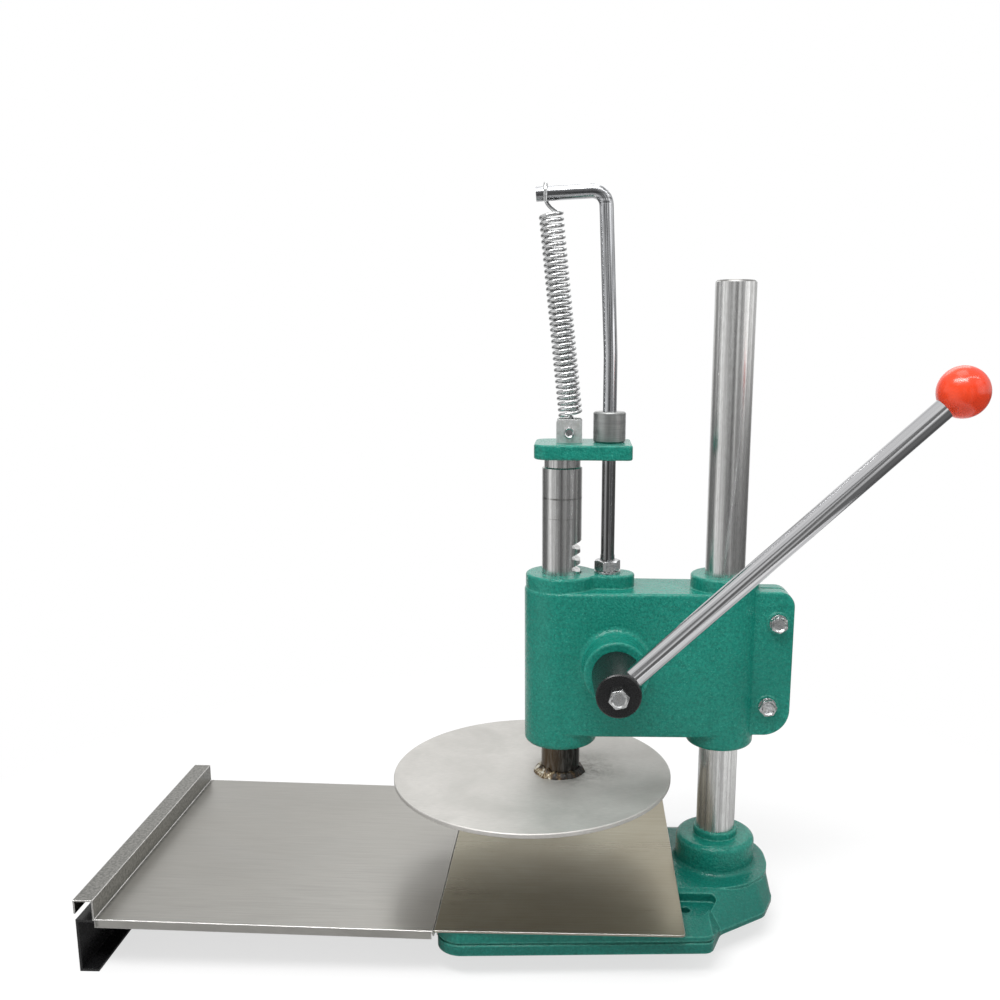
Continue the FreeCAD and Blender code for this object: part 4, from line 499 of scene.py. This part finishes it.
def newPiece(name, mesh, finish=None):
    piece = bpy.data.objects.new(name, mesh)
    scene.collection.objects.link(piece)
    if finish is not None:
        mesh.materials.clear()
        mesh.materials.append(finish)
    return piece


mergeWithin = 1e-7


def meshFrom(name, points, faces):
    mesh = bpy.data.meshes.new(name)
    mesh.from_pydata([tuple(point) for point in points], [], faces)
    mesh.update()
    shell = bmesh.new()
    shell.from_mesh(mesh)
    bmesh.ops.remove_doubles(shell, verts=shell.verts, dist=mergeWithin)
    bmesh.ops.recalc_face_normals(shell, faces=shell.faces)
    shell.to_mesh(mesh)
    shell.free()
    mesh.polygons.foreach_set("use_smooth", [True] * len(mesh.polygons))
    return mesh


def keepSharp(mesh, degrees=32.0):
    mesh.set_sharp_from_angle(angle=math.radians(degrees))
    return mesh


def newTree(name, sockets):
    tree = bpy.data.node_groups.new(name, "GeometryNodeTree")
    keys = {}
    for label, kind in sockets:
        keys[label] = tree.interface.new_socket(label, in_out="INPUT", socket_type=kind).identifier
    tree.interface.new_socket("Result", in_out="OUTPUT", socket_type="NodeSocketGeometry")
    return tree, keys, tree.nodes.new("NodeGroupInput"), tree.nodes.new("NodeGroupOutput")


def closeTree(tree, shape, start, end):
    realize = tree.nodes.new("GeometryNodeRealizeInstances")
    paint = tree.nodes.new("GeometryNodeSetMaterial")
    tree.links.new(shape, realize.inputs[0])
    tree.links.new(realize.outputs[0], paint.inputs["Geometry"])
    tree.links.new(start.outputs["Finish"], paint.inputs["Material"])
    tree.links.new(paint.outputs[0], end.inputs[0])


def makePlacer():
    # puts a copy of a small part on every point, each turned a little differently about its own axis
    tree, keys, start, end = newTree("placeCopies", (
        ("Spots", "NodeSocketGeometry"), ("Part", "NodeSocketObject"), ("Facing", "NodeSocketVector"),
        ("Spin", "NodeSocketFloat"), ("Seed", "NodeSocketInt"), ("Finish", "NodeSocketMaterial"),
    ))
    part = tree.nodes.new("GeometryNodeObjectInfo")
    part.inputs["As Instance"].default_value = True
    facing = tree.nodes.new("FunctionNodeEulerToRotation")
    copies = tree.nodes.new("GeometryNodeInstanceOnPoints")
    chance = tree.nodes.new("FunctionNodeRandomValue")
    spin = tree.nodes.new("ShaderNodeMath")
    spin.operation = "MULTIPLY"
    about = tree.nodes.new("ShaderNodeCombineXYZ")
    turn = tree.nodes.new("GeometryNodeRotateInstances")
    links = tree.links
    links.new(start.outputs["Spots"], copies.inputs["Points"])
    links.new(start.outputs["Part"], part.inputs["Object"])
    links.new(part.outputs["Geometry"], copies.inputs["Instance"])
    links.new(start.outputs["Facing"], facing.inputs[0])
    links.new(facing.outputs[0], copies.inputs["Rotation"])
    links.new(start.outputs["Seed"], chance.inputs["Seed"])
    links.new(chance.outputs[1], spin.inputs[0])
    links.new(start.outputs["Spin"], spin.inputs[1])
    links.new(spin.outputs[0], about.inputs["Z"])
    links.new(copies.outputs[0], turn.inputs["Instances"])
    links.new(about.outputs[0], turn.inputs["Rotation"])
    closeTree(tree, turn.outputs[0], start, end)
    return tree, keys


def makeSweeper():
    # a round wire along a chain of edges
    tree, keys, start, end = newTree("sweepWire", (
        ("Line", "NodeSocketGeometry"), ("Radius", "NodeSocketFloat"), ("Sides", "NodeSocketInt"),
        ("Finish", "NodeSocketMaterial"),
    ))
    curve = tree.nodes.new("GeometryNodeMeshToCurve")
    ring = tree.nodes.new("GeometryNodeCurvePrimitiveCircle")
    sweep = tree.nodes.new("GeometryNodeCurveToMesh")
    smooth = tree.nodes.new("GeometryNodeSetShadeSmooth")
    links = tree.links
    links.new(start.outputs["Line"], curve.inputs["Mesh"])
    links.new(start.outputs["Radius"], ring.inputs["Radius"])
    links.new(start.outputs["Sides"], ring.inputs["Resolution"])
    links.new(curve.outputs[0], sweep.inputs["Curve"])
    links.new(ring.outputs["Curve"], sweep.inputs["Profile Curve"])
    sweep.inputs["Fill Caps"].default_value = True
    links.new(sweep.outputs[0], smooth.inputs["Geometry"])
    closeTree(tree, smooth.outputs[0], start, end)
    return tree, keys


def grow(name, mesh, treeAndKeys, values):
    # runs a tree on a mesh and keeps only the plain mesh that comes out
    tree, keys = treeAndKeys
    piece = newPiece(name, mesh)
    modifier = piece.modifiers.new(name, "NODES")
    modifier.node_group = tree
    for label, value in values.items():
        modifier[keys[label]] = value
    bpy.context.view_layer.update()
    done = bpy.data.meshes.new_from_object(piece.evaluated_get(bpy.context.evaluated_depsgraph_get()))
    piece.modifiers.remove(modifier)
    piece.data = done
    done.name = name
    return piece


placer = makePlacer()
sweeper = makeSweeper()


def latheRings(rings, around, closed=True):
    # rings of (radius at an angle, height) pairs joined into one closed shell
    points, faces = [], []
    for radius, height in rings:
        for step in range(around):
            angle = 2 * math.pi * step / around
            reach = radius(angle) if callable(radius) else radius
            level = height(angle) if callable(height) else height
            points.append((reach * math.cos(angle), reach * math.sin(angle), level))
    for row in range(len(rings) - 1):
        for step in range(around):
            after = (step + 1) % around
            low, high = row * around, (row + 1) * around
            faces.append((low + step, low + after, high + after, high + step))
    if closed:
        faces.append(tuple(reversed(range(around))))
        faces.append(tuple(range((len(rings) - 1) * around, len(rings) * around)))
    return points, faces


facets = 72
chamferAngle = math.radians(30)
# shares of the width over the flats, of the height, the bore or the pitch that they shape
boltShape = {
    "chamferFrom": 0.97, "rim": 0.87, "seat": 0.985, "seatEdge": 0.06, "dishEdge": 0.8, "dishFloor": 0.3,
    "tip": 0.7, "tipLength": 0.4,
}
nutShape = {"rim": 0.95, "mouth": 1.12, "mouthDepth": 0.08}
threadShape = {"rowsPerTurn": 6, "depth": 0.54, "runout": 0.35}


def hexReach(flats):
    def reach(angle):
        return flats / 2 / math.cos((angle % (math.pi / 3)) - math.pi / 6)
    return reach


def chamferLevel(flats, top, way):
    # where a 30 degree cone meets the sides of a hexagon
    reach = hexReach(flats)
    rim = flats / 2 * boltShape["chamferFrom"]

    def level(angle):
        return top - way * max(0.0, reach(angle) - rim) * math.tan(chamferAngle)
    return level


def threadRings(radius, pitch, start, end):
    # a screw thread as rows of rings whose radius runs up and down along the helix
    rows, runout = threadShape["rowsPerTurn"], threadShape["runout"]
    depth = threadShape["depth"] * pitch
    count = max(2, int(round(abs(end - start) / pitch * rows)))
    rings = []
    for row in range(count + 1):
        level = start + (end - start) * row / count
        fade = min(1.0, row / rows, (count - row) / rows)

        def reach(angle, level=level, fade=fade):
            turn = (level / pitch - angle / (2 * math.pi)) % 1.0
            return radius - depth * (1 - abs(2 * turn - 1)) * (runout + (1 - runout) * fade)
        rings.append((reach, level))
    return rings


def boltMesh(name, sizes):
    # a hexagon bolt along Z: its seat at 0, the dished head above and the threaded shank below
    flats, head, shank, length = (sizes[key] for key in ("flats", "head", "shank", "length"))
    pitch, plain, floor = sizes["pitch"], sizes["plain"], head - sizes["dish"]
    rim = flats / 2 * boltShape["rim"]
    if plain < length - pitch:
        rings = [(shank - boltShape["tip"] * pitch, -length)]
        rings += threadRings(shank, pitch, -length + boltShape["tipLength"] * pitch, -plain)
    else:
        rings = [(shank, -length)]
    rings += [
        (shank, -plain), (shank, 0.0), (hexReach(flats * boltShape["seat"]), 0.0),
        (hexReach(flats), head * boltShape["seatEdge"]), (hexReach(flats), chamferLevel(flats, head, 1)),
        (rim, head), (rim * boltShape["dishEdge"], floor), (rim * boltShape["dishFloor"], floor),
    ]
    points, faces = latheRings(rings, facets)
    return keepSharp(meshFrom(name, points, faces))


def nutMesh(name, sizes):
    # a hexagon nut along Z, chamfered on both faces, with a countersunk bore
    flats, height, bore = (sizes[key] for key in ("flats", "height", "bore"))
    rim, mouth, depth = flats / 2 * nutShape["rim"], bore * nutShape["mouth"], height * nutShape["mouthDepth"]
    rings = [
        (bore, height / 2), (bore, depth), (mouth, 0.0), (rim, 0.0),
        (hexReach(flats), chamferLevel(flats, 0.0, -1)), (hexReach(flats), chamferLevel(flats, height, 1)),
        (rim, height), (mouth, height), (bore, height - depth), (bore, height / 2),
    ]
    points, faces = latheRings(rings, facets, closed=False)
    return keepSharp(meshFrom(name, points, faces))


def spotsMesh(name, spots):
    mesh = bpy.data.meshes.new(name)
    mesh.from_pydata([tuple(spot) for spot in spots], [], [])
    return mesh


facings = {"front": (math.pi / 2, 0, 0), "back": (-math.pi / 2, 0, 0), "up": (0, 0, 0)}
# the spots' X is counted from the ram's axis
fasteners = {
    "clampBolts": {
        "stands": "clamp_bolts", "kind": "bolt", "facing": "front", "spin": 0.9, "seed": 4, "body": "head",
        "spots": ((0.180, -0.0174, 0.259), (0.174, -0.0174, 0.1866)),
        "flats": 0.013, "head": 0.0053, "dish": 0.0011,
        "shank": 0.004, "length": 0.044, "plain": 0.030, "pitch": 0.00125,
    },
    "clampNuts": {
        "stands": "clamp_nuts", "kind": "nut", "facing": "back", "spin": 1.0, "seed": 2, "body": "head",
        "spots": ((0.180, 0.0166, 0.259), (0.174, 0.0166, 0.1866)),
        "flats": 0.013, "height": 0.0065, "bore": 0.00395,
    },
    "hubBolt": {
        "stands": "hub_bolt", "kind": "bolt", "facing": "front", "spin": 0.3, "seed": 7, "body": "handle",
        "spots": ((0.0455, -0.110, 0.2268),),
        "flats": 0.014, "head": 0.0075, "dish": 0.0008,
        "shank": 0.004, "length": 0.0418, "plain": 0.0418, "pitch": 0.00125,
    },
    "lugBolt": {
        "stands": "lug_bolt", "kind": "bolt", "facing": "front", "spin": 0.5, "seed": 3, "body": "ram",
        "spots": ((0.0056, -0.011, 0.4145),),
        "flats": 0.008, "head": 0.0035, "dish": 0.0005,
        "shank": 0.0025, "length": 0.028, "plain": 0.0215, "pitch": 0.0008,
    },
    "lugNut": {
        "stands": "lug_nut", "kind": "nut", "facing": "back", "spin": 0.5, "seed": 5, "body": "ram",
        "spots": ((0.0056, 0.011, 0.4145),),
        "flats": 0.008, "height": 0.004, "bore": 0.00245,
    },
    "rodLockNut": {
        "stands": "rod_lock_nut", "kind": "nut", "facing": "up", "spin": 0.6, "seed": 1, "body": "head",
        "spots": ((0.0382, 0.0, 0.299),),
        "flats": 0.019, "height": 0.009, "bore": 0.006,
    },
}


def makeFasteners(name, sizes):
    maker = boltMesh if sizes["kind"] == "bolt" else nutMesh
    sample = newPiece(name + "Sample", maker(name + "Sample", sizes))
    spots = [(x + ramAxis, y, z) for x, y, z in sizes["spots"]]
    piece = grow(name, spotsMesh(name, spots), placer, {
        "Part": sample, "Facing": facings[sizes["facing"]], "Spin": sizes["spin"], "Seed": sizes["seed"],
        "Finish": finishes["zinc_plate"],
    })
    bpy.data.objects.remove(sample)
    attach(piece, sizes["body"])
    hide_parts(sizes["stands"])
    return piece


for name, sizes in fasteners.items():
    makeFasteners(name, sizes)
print("fasteners made:", ", ".join(fasteners))


springSizes = {
    "wire": 0.0033, "coil": 0.0167, "turns": 34.75, "begin": 110.0, "stepsPerTurn": 30, "sides": 10,
    "foot": (0.0064, 0.4275), "top": (-0.0101, 0.5843), "lugBolt": (0.0056, 0.4145), "lugBoltRadius": 0.0025,
    "armRadius": 0.00565, "hookX": -0.0143, "gap": 0.0003,
    "hookSteps": 16, "tailSteps": 4, "tailWires": 2, "shoulderDrop": 0.003, "lowJoin": 12, "highJoin": 14,
}


def bridge(start, way, end, into, steps):
    # a smooth run between two points that leaves and arrives in the given directions
    pull = (end - start).length
    points = []
    for step in range(1, steps):
        t = step / steps
        points.append(start * (2 * t ** 3 - 3 * t * t + 1) + way * (pull * (t ** 3 - 2 * t * t + t))
                      + end * (3 * t * t - 2 * t ** 3) + into * (pull * (t ** 3 - t * t)))
    return points


def springLine(sizes, arm):
    foot = Vector((sizes["foot"][0] + ramAxis, 0, sizes["foot"][1]))
    top = Vector((sizes["top"][0] + ramAxis, 0, sizes["top"][1]))
    axis = (top - foot).normalized()
    side, back, up = Vector((axis.z, 0, -axis.x)), Vector((0, 1, 0)), Vector((0, 0, 1))
    radius = sizes["coil"] / 2
    begin, whole = math.radians(sizes["begin"]), 2 * math.pi * sizes["turns"]
    climb = (top - foot).length / whole

    def onCoil(angle):
        out = side * math.cos(angle) + back * math.sin(angle)
        spot = foot + axis * (climb * (angle - begin)) + out * radius
        way = axis * climb + (back * math.cos(angle) - side * math.sin(angle)) * radius
        return spot, way.normalized()

    tail, tailSteps, hookSteps = sizes["wire"] * sizes["tailWires"], sizes["tailSteps"], sizes["hookSteps"]
    low = Vector((sizes["lugBolt"][0] + ramAxis, 0, sizes["lugBolt"][1]))
    lowRadius = sizes["lugBoltRadius"] + sizes["gap"] + sizes["wire"] / 2
    points = [low + Vector((-lowRadius, 0, tail * (1 - step / tailSteps))) for step in range(tailSteps)]
    for step in range(hookSteps + 1):
        angle = math.pi + math.pi * step / hookSteps
        points.append(low + Vector((lowRadius * math.cos(angle), 0, lowRadius * math.sin(angle))))
    steps = int(sizes["turns"] * sizes["stepsPerTurn"])
    coil = [onCoil(begin + whole * step / steps) for step in range(steps + 1)]
    points += bridge(points[-1], up, *coil[0], sizes["lowJoin"])
    points += [spot for spot, _ in coil]
    highRadius = sizes["armRadius"] + sizes["gap"] + sizes["wire"] / 2
    shoulder = arm + Vector((0, highRadius, -sizes["shoulderDrop"]))
    points += bridge(*coil[-1], shoulder, up, sizes["highJoin"])
    points.append(shoulder)
    for step in range(hookSteps + 1):
        angle = math.pi * step / hookSteps
        points.append(arm + Vector((0, highRadius * math.cos(angle), highRadius * math.sin(angle))))
    points += [arm + Vector((0, -highRadius, -tail * step / tailSteps)) for step in range(1, tailSteps + 1)]
    return points, foot, top


def makeSpring(sizes):
    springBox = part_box("return_spring")
    armHeight = springBox[1].z - sizes["armRadius"] - sizes["gap"] - sizes["wire"]
    arm = Vector((sizes["hookX"] + ramAxis, 0, armHeight))
    points, foot, top = springLine(sizes, arm)
    line = bpy.data.meshes.new("returnSpring")
    line.from_pydata(points, [(step, step + 1) for step in range(len(points) - 1)], [])
    piece = grow("returnSpring", line, sweeper, {
        "Radius": sizes["wire"] / 2, "Sides": sizes["sides"], "Finish": barSteel("springWire", springLook),
    })
    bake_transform(piece)
    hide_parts("return_spring")
    print("return spring:", len(piece.data.polygons), "faces")
    return piece


makeSpring(springSizes)


weldSizes = {
    "radius": 0.0165, "width": 0.0042, "height": 0.0048, "bulge": 0.0026, "bulgeAt": 205.0, "ripples": 41,
    "ripple": 0.00012, "rough": 0.0013, "around": 300, "sunk": 0.0004, "below": 0.0003,
    "lumpScale": 3.1, "lumpWeight": 1.4, "gritScale": 11.0, "gritDrift": 4, "gritWeight": 0.5,
    "bulgeHeight": 0.6, "rippleHeight": 0.7, "rippleDrift": 0.6,
    "section": ((0.22, 0.93), (0.45, 0.78), (0.66, 0.58), (0.84, 0.34), (0.96, 0.12), (1.0, 0.0)),
}


def makeWeld(sizes):
    # one bead round the ram's foot, laid in short ripples and thicker where it was begun and ended
    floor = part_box("disc_weld")[0].z
    points, faces = [], []
    inner = sizes["radius"] - sizes["sunk"]
    for step in range(sizes["around"]):
        angle = 2 * math.pi * step / sizes["around"]
        lump = max(0.0, math.cos(angle - math.radians(sizes["bulgeAt"]))) ** 2
        drift = sizes["rippleDrift"] * math.sin(3 * angle)
        bulge = sizes["bulge"] * lump
        scallop = sizes["ripple"] * abs(math.sin(angle * sizes["ripples"] / 2 + drift))
        way = Vector((math.cos(angle), math.sin(angle), 0))
        uneven = cloud.noise(way * sizes["lumpScale"]) * sizes["rough"] * sizes["lumpWeight"]
        width = sizes["width"] + bulge + uneven + scallop
        height = sizes["height"] + sizes["bulgeHeight"] * bulge + uneven + sizes["rippleHeight"] * scallop
        profile = [(inner, -sizes["below"]), (inner, height)]
        for out, up in sizes["section"]:
            grain = cloud.noise(way * sizes["gritScale"] + Vector((0, 0, out * sizes["gritDrift"])))
            grit = grain * sizes["rough"] * sizes["gritWeight"]
            profile.append((sizes["radius"] + (width + grit) * out, max(0.0, (height + grit) * up)))
        profile.append((sizes["radius"] + width, -sizes["below"]))
        for reach, level in profile:
            points.append((ramAxis + reach * way.x, reach * way.y, floor + level))
    rows = len(profile)
    for step in range(sizes["around"]):
        after = (step + 1) % sizes["around"]
        for row in range(rows):
            nextRow = (row + 1) % rows
            here, there = step * rows, after * rows
            faces.append((here + row, there + row, there + nextRow, here + nextRow))
    piece = newPiece("weldBead", meshFrom("weldBead", points, faces), weldMetal("weldBead", weldLook))
    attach(piece, "ram")
    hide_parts("disc_weld")
    return piece


makeWeld(weldSizes)
print("spring and weld made")


cameraSpot = {
    "place": (0.05118, -0.8427, 0.49101), "yaw": -1.395, "pitch": 11.749, "roll": 0.315,
    "lens": 37.105, "sensor": 36.0, "shiftX": -0.0571, "shiftY": 0.0499, "clip": (0.01, 50.0),
}


def placeCamera(spot):
    yaw, pitch, roll = (math.radians(spot[key]) for key in ("yaw", "pitch", "roll"))
    ahead = Vector((math.sin(yaw) * math.cos(pitch), math.cos(yaw) * math.cos(pitch), -math.sin(pitch)))
    level = Vector((math.cos(yaw), -math.sin(yaw), 0))
    above = level.cross(ahead)
    right = level * math.cos(roll) + above * math.sin(roll)
    up = above * math.cos(roll) - level * math.sin(roll)
    data = bpy.data.cameras.new("viewCamera")
    data.sensor_width = spot["sensor"]
    data.lens = spot["lens"]
    data.shift_x, data.shift_y = spot["shiftX"], spot["shiftY"]
    data.clip_start, data.clip_end = spot["clip"]
    camera = bpy.data.objects.new("viewCamera", data)
    scene.collection.objects.link(camera)
    turn = Matrix((right, up, -ahead)).transposed().to_4x4()
    camera.matrix_world = Matrix.Translation(Vector(spot["place"])) @ turn
    scene.camera = camera
    return camera


placeCamera(cameraSpot)

# tones and strengths; bands are heights or depths of the view's direction, from -1 to 1
studio = {
    "floor": 0.88, "floorRadius": 0.66, "floorSides": 96, "floorRoughness": 0.8, "floorKeeps": 0.32,
    "clearFrom": 0.36, "clearTo": 0.64, "mirroredFloor": 0.42, "mirrorKeeps": 0.9,
    "worldLight": 0.5, "horizon": (-0.08, 0.0), "shade": 0.2, "shadeBand": (0.34, 0.37),
    "shadeFront": (-0.1, 0.1), "ceiling": 0.82, "ceilingBand": (0.46, 0.52),
}
lamps = {
    "keyLamp": {"place": (-0.5, -0.95, 2.15), "target": (0, 0, 0.25), "size": (1.9, 0.5), "power": 42.0},
    "glintLamp": {"place": (0.25, -0.7, 1.6), "target": (0, 0, 0.25), "size": (2.4, 0.09), "power": 6.0},
    "fillLamp": {"place": (1.6, -0.9, 1.0), "target": (0, 0, 0.25), "size": (1.0, 1.4), "power": 4.0},
    "backLamp": {"place": (0.3, 1.5, 1.7), "target": (0, 0, 0.3), "size": (1.6, 0.8), "power": 7.0},
    "topLamp": {"place": (0.1, 0.1, 2.2), "target": (0.1, 0, 0.3), "size": (1.0, 1.0), "power": 7.0},
}
# what bright metal mirrors in the room, as (degrees round from the camera's side, brightness)
roomAbove = (
    (-180, 1.0), (-152, 1.0), (-140, 0.34), (-116, 0.34), (-106, 1.0), (-80, 1.0), (-60, 0.78), (-42, 0.7),
    (-36, 0.3), (-26, 0.3), (-20, 0.75), (-10, 0.7), (-6, 0.16), (6, 0.16), (10, 1.0), (18, 1.0), (23, 0.32),
    (30, 0.4), (50, 0.65), (80, 1.0), (110, 1.0), (125, 0.7), (142, 0.5), (152, 1.0), (180, 1.0),
)
roomBelow = (
    (-180, 1.0), (-155, 1.0), (-142, 0.16), (-92, 0.16), (-78, 0.95), (-45, 0.95), (-32, 0.5), (-20, 0.2),
    (0, 0.12), (9, 0.14), (13, 0.5), (20, 0.5), (27, 0.16), (75, 0.16), (110, 0.12), (142, 0.16),
    (155, 1.0), (180, 1.0),
)


def makeFloor():
    mesh = bpy.data.meshes.new("floor")
    radius, sides = studio["floorRadius"], studio["floorSides"]
    around = [2 * math.pi * step / sides for step in range(sides)]
    rim = [(radius * math.cos(angle), radius * math.sin(angle), 0) for angle in around]
    mesh.from_pydata(rim, [], [tuple(range(sides))])
    floor = newPiece("floor", mesh)
    material, tree, shader = newMaterial("paleFloor")
    output = [node for node in tree.nodes if node.type == "OUTPUT_MATERIAL"][0]
    rays = addNode(tree, "ShaderNodeLightPath")
    seenPlain, seenMirrored = (studio["floor"],) * 3, (studio["mirroredFloor"],) * 3
    tone = mixColour(tree, rays.outputs["Is Glossy Ray"], seenPlain, seenMirrored)
    tree.links.new(tone, shader.inputs["Base Color"])
    shader.inputs["Roughness"].default_value = studio["floorRoughness"]
    shader.inputs["Specular IOR Level"].default_value = 0.0
    near = ringAround(tree, (0, 0), studio["clearFrom"], studio["clearTo"])
    shown = maths(tree, "MAXIMUM", rays.outputs["Is Camera Ray"], rays.outputs["Is Transmission Ray"])
    plain = maths(tree, "SUBTRACT", 1.0, maths(tree, "MULTIPLY", near, studio["floorKeeps"]))
    mirrored = maths(tree, "SUBTRACT", 1.0, maths(tree, "MULTIPLY", near, studio["mirrorKeeps"]))
    white = addNode(tree, "ShaderNodeEmission")
    mix = addNode(tree, "ShaderNodeMixShader")
    shown = maths(tree, "MULTIPLY", shown, plain)
    mirrored = maths(tree, "MULTIPLY", rays.outputs["Is Glossy Ray"], mirrored)
    tree.links.new(maths(tree, "ADD", shown, mirrored), mix.inputs[0])
    tree.links.new(shader.outputs[0], mix.inputs[1])
    tree.links.new(white.outputs[0], mix.inputs[2])
    tree.links.new(mix.outputs[0], output.inputs["Surface"])
    mesh.materials.append(material)
    return floor


def roundRoom(tree, turn, stops):
    return ramp(tree, turn, [(0.5 + degrees / 360, (level,) * 3) for degrees, level in stops])


def makeWorld():
    # soft light for everything, a white background, and for mirrors a room with soft boxes and dark gaps
    world = bpy.data.worlds.new("paleRoom")
    world.use_nodes = True
    tree = world.node_tree
    tree.nodes.clear()
    output = tree.nodes.new("ShaderNodeOutputWorld")
    place = addNode(tree, "ShaderNodeTexCoord")
    split = addNode(tree, "ShaderNodeSeparateXYZ")
    tree.links.new(place.outputs["Generated"], split.inputs[0])
    front = maths(tree, "MULTIPLY", split.outputs["Y"], -1.0)
    turn = maths(tree, "ARCTAN2", split.outputs["X"], front)
    turn = mapRange(tree, turn, -math.pi, math.pi)
    above = roundRoom(tree, turn, roomAbove)
    below = roundRoom(tree, turn, roomBelow)
    up = split.outputs["Z"]
    room = mixColour(tree, mapRange(tree, up, *studio["horizon"]), below, above)
    inFront = mapRange(tree, split.outputs["Y"], *studio["shadeFront"], 1.0, 0.0)
    shade = maths(tree, "MULTIPLY", mapRange(tree, up, *studio["shadeBand"]), inFront)
    room = mixColour(tree, shade, room, (studio["shade"],) * 3)
    room = mixColour(tree, mapRange(tree, up, *studio["ceilingBand"]), room, (studio["ceiling"],) * 3)
    light = addNode(tree, "ShaderNodeBackground")
    light.inputs["Color"].default_value = (1, 1, 1, 1)
    light.inputs["Strength"].default_value = studio["worldLight"]
    mirrored = addNode(tree, "ShaderNodeBackground")
    tree.links.new(room, mirrored.inputs["Color"])
    white = addNode(tree, "ShaderNodeBackground")
    white.inputs["Color"].default_value = (1, 1, 1, 1)
    rays = addNode(tree, "ShaderNodeLightPath")
    glossy = addNode(tree, "ShaderNodeMixShader")
    mix = addNode(tree, "ShaderNodeMixShader")
    tree.links.new(rays.outputs["Is Glossy Ray"], glossy.inputs[0])
    tree.links.new(light.outputs[0], glossy.inputs[1])
    tree.links.new(mirrored.outputs[0], glossy.inputs[2])
    seen = maths(tree, "MAXIMUM", rays.outputs["Is Camera Ray"], rays.outputs["Is Transmission Ray"])
    tree.links.new(seen, mix.inputs[0])
    tree.links.new(glossy.outputs[0], mix.inputs[1])
    tree.links.new(white.outputs[0], mix.inputs[2])
    tree.links.new(mix.outputs[0], output.inputs["Surface"])
    scene.world = world


def addLamp(name, values):
    data = bpy.data.lights.new(name, "AREA")
    data.shape = "RECTANGLE"
    data.size, data.size_y = values["size"]
    data.energy = values["power"]
    lamp = bpy.data.objects.new(name, data)
    scene.collection.objects.link(lamp)
    lamp.location = values["place"]
    ahead = Vector(values["target"]) - Vector(values["place"])
    lamp.rotation_euler = ahead.to_track_quat("-Z", "Y").to_euler()
    lamp.visible_camera = False
    lamp.light_linking.receiver_collection = leverOnly
    return lamp


# the lever's chrome mirrors the soft room and not the lamps, whose glare would eat its outline
leverOnly = bpy.data.collections.new("leverOnly")
leverOnly.objects.link(nodes["lever_rod"])
leverOnly.collection_objects[0].light_linking.link_state = "EXCLUDE"
makeFloor()
makeWorld()
for name, values in lamps.items():
    addLamp(name, values)
scene.view_settings.view_transform = "Standard"
print("camera, floor and lamps ready")
